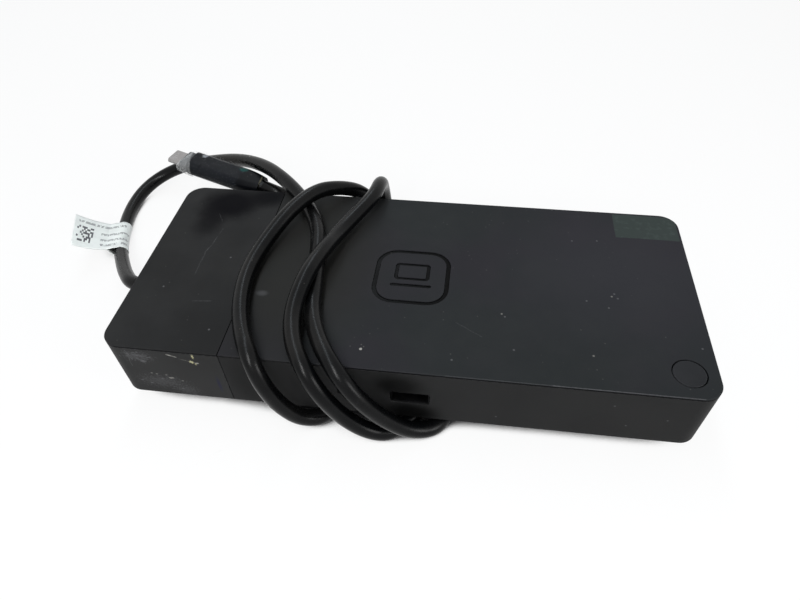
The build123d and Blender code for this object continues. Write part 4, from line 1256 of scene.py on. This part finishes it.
@dataclass(frozen=True)
class SubAssembly:
    """Nodes that come over from the CAD as they are, and the finish that each wears."""

    name: str
    finishes: tuple[tuple[Finish, tuple[str, ...]], ...]
    weld: float = 0.005 * MM

    def dress(self) -> None:
        """Give each node its finish, with its loose triangles welded and its curves smooth."""
        for finish, names in self.finishes:
            for name in names:
                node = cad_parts[name]
                node.data.materials.clear()
                node.data.materials.append(finish.material())
                weld = node.modifiers.new("weld", "WELD")
                weld.merge_threshold = self.weld
                node.modifiers.new("shade", "NODES").node_group = smoothing_group()
                LOG.info("%s, node %s: %s", self.name, name, finish.name)


SUB_ASSEMBLIES = (
    SubAssembly("housing", (
        (Finishes.lid, ("top_cover",)),
        (Finishes.module_lid, ("module_cover",)),
        (Finishes.inlay, ("emblem_inlay",)),
        (Finishes.case, ("main_walls", "base_cover")),
        (Finishes.module_case, ("module_walls", "module_base")),
        (Finishes.rubber, ("rubber_feet",)),
        (Finishes.steel, ("base_screws", "module_screws", "lock_plate")),
    )),
    SubAssembly("power switch", (
        (Finishes.button, ("power_button",)),
        (Finishes.black, ("tactile_switch", "switch_plunger", "switch_pegs")),
        (Finishes.board, ("switch_board",)),
    )),
    SubAssembly("ports", (
        # The front shells get steel painted near black, as painted shade in their slots.
        (Finishes.port_steel_painted_shade, ("front_usb_a_shell", "front_usb_c_shell")),
        (Finishes.steel, ("rear_usb_a_shells", "rear_usb_c_shell", "module_usb_c_shell",
                          "wide_video_shell", "latched_video_shells")),
        (Finishes.insert, ("front_usb_a_tongue", "front_usb_c_tongue", "rear_usb_a_tongues",
                           "rear_usb_c_tongue", "module_usb_c_tongue", "wide_video_tongue",
                           "latched_video_tongues")),
        (Finishes.black, ("network_jack", "power_inlet", "headset_jack")),
        (Finishes.gold, ("network_contacts", "inlet_pin")),
    )),
    SubAssembly("electronics", (
        (Finishes.board, ("main_board", "module_board")),
        (Finishes.steel, ("board_screws", "chip_shield")),
        (Finishes.black, ("link_socket", "link_plug", "lead_socket")),
        (Finishes.chip, ("hub_chips",)),
        (Finishes.coil, ("power_coils",)),
        (Finishes.can, ("capacitors",)),
        (Finishes.sink, ("heat_sink",)),
        (Finishes.fan, ("fan_frame", "fan_impeller")),
    )),
    SubAssembly("plug and leads", (
        (Finishes.cord, ("cord_boot", "inner_lead", "plug_relief")),
        (Finishes.grip, ("plug_overmold",)),
        (Finishes.nose, ("plug_nose",)),
        (Finishes.shell, ("plug_shell",)),
        (Finishes.insert, ("plug_contacts",)),
    )),
)


# ------------------------------------------------------------------ new pieces
def new_piece(name: str, mesh: bmesh.types.BMesh, material: bpy.types.Material,
              smooth: bool = True) -> bpy.types.Object:
    """Turn a finished bmesh into a piece at the origin.

    Args:
        name: the piece's name.
        mesh: its geometry, in metres in the shared frame.
        material: what it is made of.
        smooth: whether its faces are shaded smooth.

    Returns:
        The new object.
    """
    data = bpy.data.meshes.new(name)
    for face in mesh.faces:
        face.smooth = smooth
    mesh.to_mesh(data)
    mesh.free()
    data.materials.append(material)
    LOG.info("piece %s: %d faces", name, len(data.polygons))
    return placed(name, data)


def placed(name: str, data: bpy.types.ID) -> bpy.types.Object:
    """Put a new object with its data into the scene.

    Args:
        name: the object's name.
        data: its mesh, curve, camera or light.

    Returns:
        The object, at the origin.
    """
    made = bpy.data.objects.new(name, data)
    bpy.context.scene.collection.objects.link(made)
    return made


# ------------------------------------------------------------------ host cord
CORD_ROUTE: list[Point] = [
    # out of the left end, down to the table and round behind the box
    (-107, -1.5, -2), (-115.5, -0.5, -2.6), (-123, 7, -5.5), (-130.5, 17, -9), (-139, 30, -12.5),
    (-146, 47, -15.3), (-150.5, 64, -16.3), (-149, 79, -14.8), (-140.5, 88, -11.2), (-127, 90, -6),
    (-109, 84.5, 1.2), (-90.5, 75.5, 9), (-74, 63, 15), (-60, 48.5, 18),
    # first strand, over the lid to the front
    (-48, 34.5, 17.8), (-39.4, 19.8, 17.8), (-36.3, 4, 17.8), (-33.8, -12, 17.8),
    (-31.7, -26.2, 17.8),
    (-26, -39.5, 19), (-19, -49.2, 18), (-11.8, -53, 9), (-3.8, -51.7, -4), (6, -49.3, -14),
    # under the box to the back and up
    (15.5, -44.5, -16.3), (19, -29, -16.3), (15.5, -10, -16.3), (6, 10, -16.3), (-5, 29, -16.3),
    (-13, 46, -16.3), (-16.5, 56, -12), (-18.8, 59, 0), (-19.3, 56, 12.5), (-18.6, 48.5, 20.6),
    (-19.4, 36.5, 22.0),
    # second strand, over the lid and over the first strand
    (-25.5, 25, 20.3), (-30.2, 13, 20.5), (-32.7, -1, 24.2), (-35.8, -15, 24.6), (-37.7, -29, 20.5),
    (-34.5, -41, 19.3), (-29.3, -49.2, 17.5), (-24, -53, 9), (-17.5, -52.5, -4),
    (-9.2, -51.4, -13.4),
    # under the box again
    (-0.8, -49.1, -16.3), (7.5, -38, -16.3), (8, -20, -16.3), (-2, -1, -16.3), (-12, 17, -16.3),
    (-19.5, 32, -16.3), (-22.5, 45.8, -16.3), (-23.5, 53, -11.5), (-22.5, 54.5, -1),
    (-24.2, 52.0, 8), (-28.5, 48.2, 15.6), (-35.4, 42.3, 20.8),
    # third strand, over the first one and round to the front
    (-42.6, 35, 24.2), (-50.2, 23.1, 23.7), (-57, 9, 19.5), (-60.3, -7, 17.8), (-58.3, -23, 17.8),
    (-53.5, -36.5, 18.3), (-47.9, -46.7, 19.2), (-43.9, -51.3, 10.1), (-40, -51, -2.5),
    (-34, -49, -13.2),
    # under the box a last time and up to the plug
    (-25.5, -45.1, -16.3), (-21, -31, -16.3), (-24.5, -13, -16.3), (-31.5, 5, -16.3),
    (-37.5, 19, -16.3), (-42.5, 32, -16.3), (-47.5, 44.8, -16.3), (-52.5, 53.5, -12.5),
    (-56, 57.5, -5), (-59.5, 56, 2.3), (-66, 54.2, 6.3),
]


@dataclass
class HostCord:
    """The captive host cord, wound round the box."""

    diameter: float = 6.0 * MM
    length: float = 1.09
    exit: Point = (-0.107, -0.0015, -0.002)
    steps: int = 10
    rings: int = 7
    piece: Optional[bpy.types.Object] = None

    def spline(self, name: str, bevel: float) -> bpy.types.Object:
        """The route as one smooth curve.

        Args:
            name: the object's name.
            bevel: the tube's radius, or 0 for the bare line.

        Returns:
            The curve object.
        """
        curve = bpy.data.curves.new(name, "CURVE")
        curve.dimensions = "3D"
        line = curve.splines.new("NURBS")
        line.points.add(len(CORD_ROUTE) - 1)
        for control, point in zip(line.points, CORD_ROUTE):
            control.co = (*metres(point), 1.0)
        line.order_u = 3
        line.use_endpoint_u = True
        line.resolution_u = self.steps
        line.use_smooth = True
        curve.bevel_depth = bevel
        curve.bevel_resolution = self.rings
        curve.use_fill_caps = bevel > 0
        return placed(name, curve)

    def line(self) -> list[Vector]:
        """Read the cord's centre from its bare spline.

        Returns:
            Points along it, from the boot to the plug.
        """
        bare = self.spline("cord_line", 0.0)
        bpy.context.view_layer.update()
        data = bpy.data.meshes.new_from_object(bare)
        points = [vertex.co.copy() for vertex in data.vertices]
        bpy.data.meshes.remove(data)
        curve = bare.data
        bpy.data.objects.remove(bare)
        bpy.data.curves.remove(curve)
        return points

    def build(self) -> bpy.types.Object:
        """Make the cord's tube and let it stand for its solid.

        Returns:
            The cord's piece.
        """
        self.piece = self.spline("host_cord_tube", self.diameter / 2)
        self.piece.data.materials.append(Finishes.cord.material())
        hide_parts("host_cord")
        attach(self.piece, "dock")
        LOG.info("piece host_cord_tube: %d route points", len(CORD_ROUTE))
        return self.piece


# ------------------------------------------------------------------ label
@dataclass
class LabelFlag:
    """The sticker folded round the cord, its faces stuck together past it."""

    middle: Point = (-142.2, 37.0, -13.8)
    along: Point = (-0.36, 0.93, -0.12)
    out: Point = (-0.84, -0.30, 0.46)
    width: float = 23.4 * MM
    reach: float = 20.5 * MM
    skew: float = 0.75 * MM
    radius: float = 3.12 * MM
    gap: float = 0.12 * MM
    thickness: float = 0.12 * MM
    curl: float = 1.3 * MM
    cup: float = 0.4 * MM
    twist: float = 0.5
    straighten: float = 2.2
    nearness: float = 0.2
    grid: tuple[int, int] = (24, 150)

    @property
    def join(self) -> float:
        """How far from the cord's centre the two faces meet."""
        return 2.0 * self.radius

    @property
    def opening(self) -> float:
        """The angle at which the sheet leaves the cord."""
        return math.acos(self.radius / self.join)

    @property
    def round_part(self) -> float:
        """The length that lies on the cord, on one side."""
        return self.radius * (math.pi - self.opening)

    @property
    def straight(self) -> float:
        """The length from the cord to where the faces meet."""
        return math.sqrt(self.join ** 2 - self.radius ** 2)

    @property
    def half_length(self) -> float:
        """Half of the sheet's length, from the cord's far side to the free end."""
        return self.round_part + self.straight + self.reach - self.join

    def profile(self, s: float) -> Pair:
        """Where the folded sheet runs, across the cord.

        Args:
            s: metres along the sheet from its middle, at the cord's far side.

        Returns:
            The distances outwards and sideways from the cord's centre.
        """
        side = math.copysign(1.0, s)
        rest = abs(s) - self.round_part
        if rest <= 0:
            angle = math.pi - abs(s) / self.radius
            return self.radius * math.cos(angle), side * self.radius * math.sin(angle)
        if rest <= self.straight:
            part = rest / self.straight
            start = (self.radius * math.cos(self.opening), self.radius * math.sin(self.opening))
            return (start[0] + (self.join - start[0]) * part,
                    side * (start[1] + (self.gap / 2 - start[1]) * part))
        return self.join + rest - self.straight, side * self.gap / 2

    def build(self, line: Sequence[Vector]) -> bpy.types.Object:
        """Fold a flat sheet round the cord.

        Args:
            line: the cord's centre line.

        Returns:
            The label's piece.
        """
        along = Vector(self.along).normalized()
        out = Vector(self.out)
        out = (out - along * out.dot(along)).normalized()
        side = along.cross(out)
        middle = metres(self.middle)
        mesh = bmesh.new()
        bmesh.ops.create_grid(mesh, x_segments=self.grid[0], y_segments=self.grid[1], size=1.0)
        layer = mesh.loops.layers.uv.new("sheet")
        for face in mesh.faces:
            for loop in face.loops:
                loop[layer].uv = ((loop.vert.co.x + 1) / 2, (loop.vert.co.y + 1) / 2)
        for vertex in mesh.verts:
            u = vertex.co.x
            distance, sideways = self.profile(vertex.co.y * self.half_length)
            free = max(0.0, distance - self.join) / (self.reach - self.join)
            distance += self.skew * u * free
            station = middle + along * (u * self.width / 2)
            centre = min(line, key=lambda place: abs((place - station).dot(along))
                         + self.nearness * (place - station).length)
            foot = station + (centre - station) - along * (centre - station).dot(along)
            base = foot.lerp(station, min(1.0, self.straighten * free))
            bow = self.curl * free ** 2 * (1 + self.twist * u) - self.cup * free * u * u
            vertex.co = base + out * distance + side * (sideways + bow)
        made = new_piece("label_sheet", mesh, Finishes.label.material())
        shell = made.modifiers.new("thickness", "SOLIDIFY")
        shell.thickness = self.thickness
        shell.offset = 1.0
        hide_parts("label_flag")
        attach(made, "dock")
        return made


# ------------------------------------------------------------------ plug sleeve
@dataclass
class PlugSleeve:
    """The clear film sleeve round the plug's grip, its free end cut askew."""

    rear: Point = (-75.0, 56.5, 8.0)
    axis: Point = (-0.95, 0.30, 0.07)
    roll: float = -2.0
    start: float = 10.2 * MM
    end: float = 42.3 * MM
    half_width: float = 6.3 * MM
    half_height: float = 3.8 * MM
    squareness: float = 3.6
    segments: int = 64
    steps: int = 22
    skew: float = 0.8 * MM
    skew_onset: int = 6
    ripple: float = 0.006
    ripple_pace: Pair = (900.0, 500.0)
    pinch: float = 0.45
    pinch_from: float = 0.82
    pinch_onset: float = 2.5
    thickness: float = 0.25 * MM
    haze_start: float = 38.4 * MM
    haze_slant: float = 0.53

    def frame(self) -> tuple[Vector, Vector, Vector]:
        """Find the plug's own directions.

        Returns:
            Forward, wide and up.
        """
        axis = Vector(self.axis).normalized()
        across = axis.cross(Vector((0, 0, 1))).normalized()
        wide = Matrix.Rotation(math.radians(self.roll), 3, axis) @ across
        return axis, wide, wide.cross(axis)

    def tube(self) -> bmesh.types.BMesh:
        """Extrude the sleeve's outline forward along Z.

        Returns:
            The open tube, about its own axis.
        """
        mesh = bmesh.new()
        bmesh.ops.create_circle(mesh, segments=self.segments, radius=1.0)
        for vertex in mesh.verts:
            x, y = vertex.co.x, vertex.co.y
            size = (abs(x) ** self.squareness + abs(y) ** self.squareness) ** (1 / self.squareness)
            vertex.co = (x / size * self.half_width, y / size * self.half_height, self.start)
        edges = mesh.edges[:]
        for _ in range(self.steps):
            pulled = bmesh.ops.extrude_edge_only(mesh, edges=edges)["geom"]
            edges = [part for part in pulled if isinstance(part, bmesh.types.BMEdge)
                     and all(vertex in pulled for vertex in part.verts)]
            fresh = [part for part in pulled if isinstance(part, bmesh.types.BMVert)]
            bmesh.ops.translate(mesh, verts=fresh, vec=(0, 0, (self.end - self.start) / self.steps))
        return mesh

    def build(self) -> bpy.types.Object:
        """Cut the tube's end askew, pinch it and lay it round the grip.

        Returns:
            The film's piece.
        """
        axis, wide, up = self.frame()
        mesh = self.tube()
        for vertex in mesh.verts:
            x, y, z = vertex.co
            share = (z - self.start) / (self.end - self.start)
            z -= share ** self.skew_onset * self.skew * x / self.half_width
            phase = z * self.ripple_pace[0] + x * self.ripple_pace[1]
            ripple = 1 + self.ripple * math.sin(phase) * share
            free = max(0.0, (share - self.pinch_from) / (1 - self.pinch_from))
            y *= 1 - self.pinch * free ** self.pinch_onset
            vertex.co = metres(self.rear) + wide * x * ripple + up * y * ripple + axis * z
        bmesh.ops.recalc_face_normals(mesh, faces=mesh.faces[:])
        film = ClearFilm("plug_film", grey(0.8), roughness=0.2, specular=0.5,
                         haze_from=tuple(metres(self.rear) + axis * self.haze_start),
                         haze_along=tuple((axis - wide * self.haze_slant).normalized()))
        made = new_piece("plug_film", mesh, film.material())
        wall = made.modifiers.new("wall", "SOLIDIFY")
        wall.thickness = self.thickness
        wall.offset = -1.0
        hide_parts("plug_sleeve")
        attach(made, "dock")
        return made


# ------------------------------------------------------------------ studio
@dataclass(frozen=True)
class Viewpoint:
    """The camera's stand: its place, its three directions and its lens."""

    place: Point = (0.01973, -0.16129, 0.17233)
    right: Point = (0.9916, 0.1279, -0.0206)
    down: Point = (0.0788, -0.7219, -0.6875)
    forward: Point = (-0.1028, 0.6801, -0.7259)
    lens: float = 27.336
    sensor: float = 36.0
    nearest: float = 10.0 * MM

    def build(self) -> bpy.types.Object:
        """Place the camera and make it the scene's own.

        Returns:
            The camera.
        """
        data = bpy.data.cameras.new("camera")
        data.lens = self.lens
        data.sensor_width = self.sensor
        data.clip_start = self.nearest
        turn = Matrix((self.right, -Vector(self.down), -Vector(self.forward))).transposed()
        made = placed("camera", data)
        turn = turn.to_quaternion().to_matrix().to_4x4()
        made.matrix_world = Matrix.Translation(self.place) @ turn
        bpy.context.scene.camera = made
        return made


@dataclass(frozen=True)
class SoftLamp:
    """A soft rectangular lamp that looks at the dock."""

    name: str
    place: Point
    aim: Point
    width: float
    height: float
    watts: float
    colour: Point = (1.0, 1.0, 1.0)

    def build(self) -> None:
        """Hang the lamp and turn it towards its aim."""
        data = bpy.data.lights.new(self.name, "AREA")
        data.energy = self.watts
        data.color = self.colour
        data.shape = "RECTANGLE"
        data.size = self.width
        data.size_y = self.height
        made = placed(self.name, data)
        made.location = self.place
        way = Vector(self.aim) - Vector(self.place)
        made.rotation_euler = way.to_track_quat("-Z", "Y").to_euler()


@dataclass
class Studio:
    """The plain pale floor, the white surround and the soft lamps."""

    ambient: float = 0.30
    horizon: float = 0.45
    horizon_band: Pair = (0.02, 0.42)
    floor_size: float = 6.0
    floor_gap: float = 0.1 * MM
    floor_share: float = 0.85
    floor_whites: Pair = (0.86, 0.90)
    floor_cells: float = 8.0
    shadow_reach: float = 30.0 * MM
    shadow_samples: int = 32
    shadow_band: Pair = (0.20, 0.42)
    shadow_colour: Colour = (0.03, 0.03, 0.032, 1.0)
    lamps: tuple[SoftLamp, ...] = (
        SoftLamp("key_lamp", place=(-0.07, -0.5, 0.55), aim=(0.0, 0.0, 0.0),
                 width=0.10, height=0.5, watts=3.6),
        SoftLamp("side_lamp", place=(0.55, -0.26, 0.20), aim=(0.09, -0.04, 0.0),
                 width=0.25, height=0.25, watts=1.3),
        SoftLamp("strip_lamp", place=(-0.15, 0.15, 0.75), aim=(-0.15, 0.0, 0.0),
                 width=0.13, height=1.3, watts=3.3, colour=(0.84, 0.93, 1.0)),
    )

    @staticmethod
    def seen_plainly(t: Tree) -> Socket:
        """Tell the rays that come from the camera or by way of gloss or glass.

        Args:
            t: the tree of the floor or the surround.

        Returns:
            1 for such rays, else 0.
        """
        rays = t.node("LightPath").outputs
        eye = t.sums(Sum.LARGER, rays["Is Camera Ray"], rays["Is Transmission Ray"])
        return t.sums(Sum.LARGER, eye, rays["Is Glossy Ray"])

    def surround(self) -> None:
        """White all round for the eye, and a plain light that is stronger near the floor."""
        world = bpy.data.worlds.new("surround")
        world.use_nodes = True
        t = Tree(world.node_tree)
        height = t.split(t.node("TexCoord").outputs["Generated"])["Z"]
        plain = t.ramp(height, *self.horizon_band, self.horizon, self.ambient)
        strength = t.mix(self.seen_plainly(t), plain, 1.0)
        sky = t.fed("Background", {"Color": grey(1.0), "Strength": strength})
        t.fed("OutputWorld", {"Surface": sky.outputs["Background"]})
        bpy.context.scene.world = world

    def floor_paint(self) -> bpy.types.Material:
        """White for the eye, darker close to the object so that it keeps a soft shadow.

        Returns:
            The floor's material.
        """
        paint = bpy.data.materials.new("floor_white")
        paint.use_nodes = True
        t = Tree(paint.node_tree)
        nearby = t.fed("AmbientOcclusion", {"Distance": self.shadow_reach},
                       samples=self.shadow_samples)
        clear = t.ramp(nearby.outputs["AO"], *self.shadow_band)
        whites = [grey(level) for level in self.floor_whites]
        white = t.blend(t.noise(t.object_point(), self.floor_cells), *whites)
        matt = t.fed("BsdfDiffuse", {"Color": t.blend(clear, self.shadow_colour, white)})
        glow = t.fed("Emission", {"Strength": 1.0})
        share = t.times(self.seen_plainly(t), self.floor_share, clear)
        mixed = t.fed("MixShader", {0: share, 1: matt.outputs[0], 2: glow.outputs[0]})
        t.fed("OutputMaterial", {"Surface": mixed.outputs[0]})
        return paint

    def floor(self) -> None:
        """A wide white floor at the table's height."""
        mesh = bmesh.new()
        bmesh.ops.create_grid(mesh, x_segments=1, y_segments=1, size=self.floor_size)
        bmesh.ops.translate(mesh, verts=mesh.verts[:], vec=(0, 0, TABLE_Z - self.floor_gap))
        made = new_piece("floor", mesh, self.floor_paint(), smooth=False)

    def build(self) -> None:
        """Set up floor, surround and lamps."""
        self.surround()
        self.floor()
        for lamp in self.lamps:
            lamp.build()
            LOG.info("%s: %.1f W", lamp.name, lamp.watts)
        bpy.context.scene.view_settings.view_transform = "Standard"


def main() -> None:
    """Build the scene in order and report each piece."""
    logging.basicConfig(level=logging.INFO, format="%(message)s")
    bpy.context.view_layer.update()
    Viewpoint().build()
    Studio().build()
    cord = HostCord()
    cord.build()
    label = LabelFlag().build(cord.line())
    film = PlugSleeve().build()
    for assembly in SUB_ASSEMBLIES:
        assembly.dress()


if __name__ == "__main__":
    main()
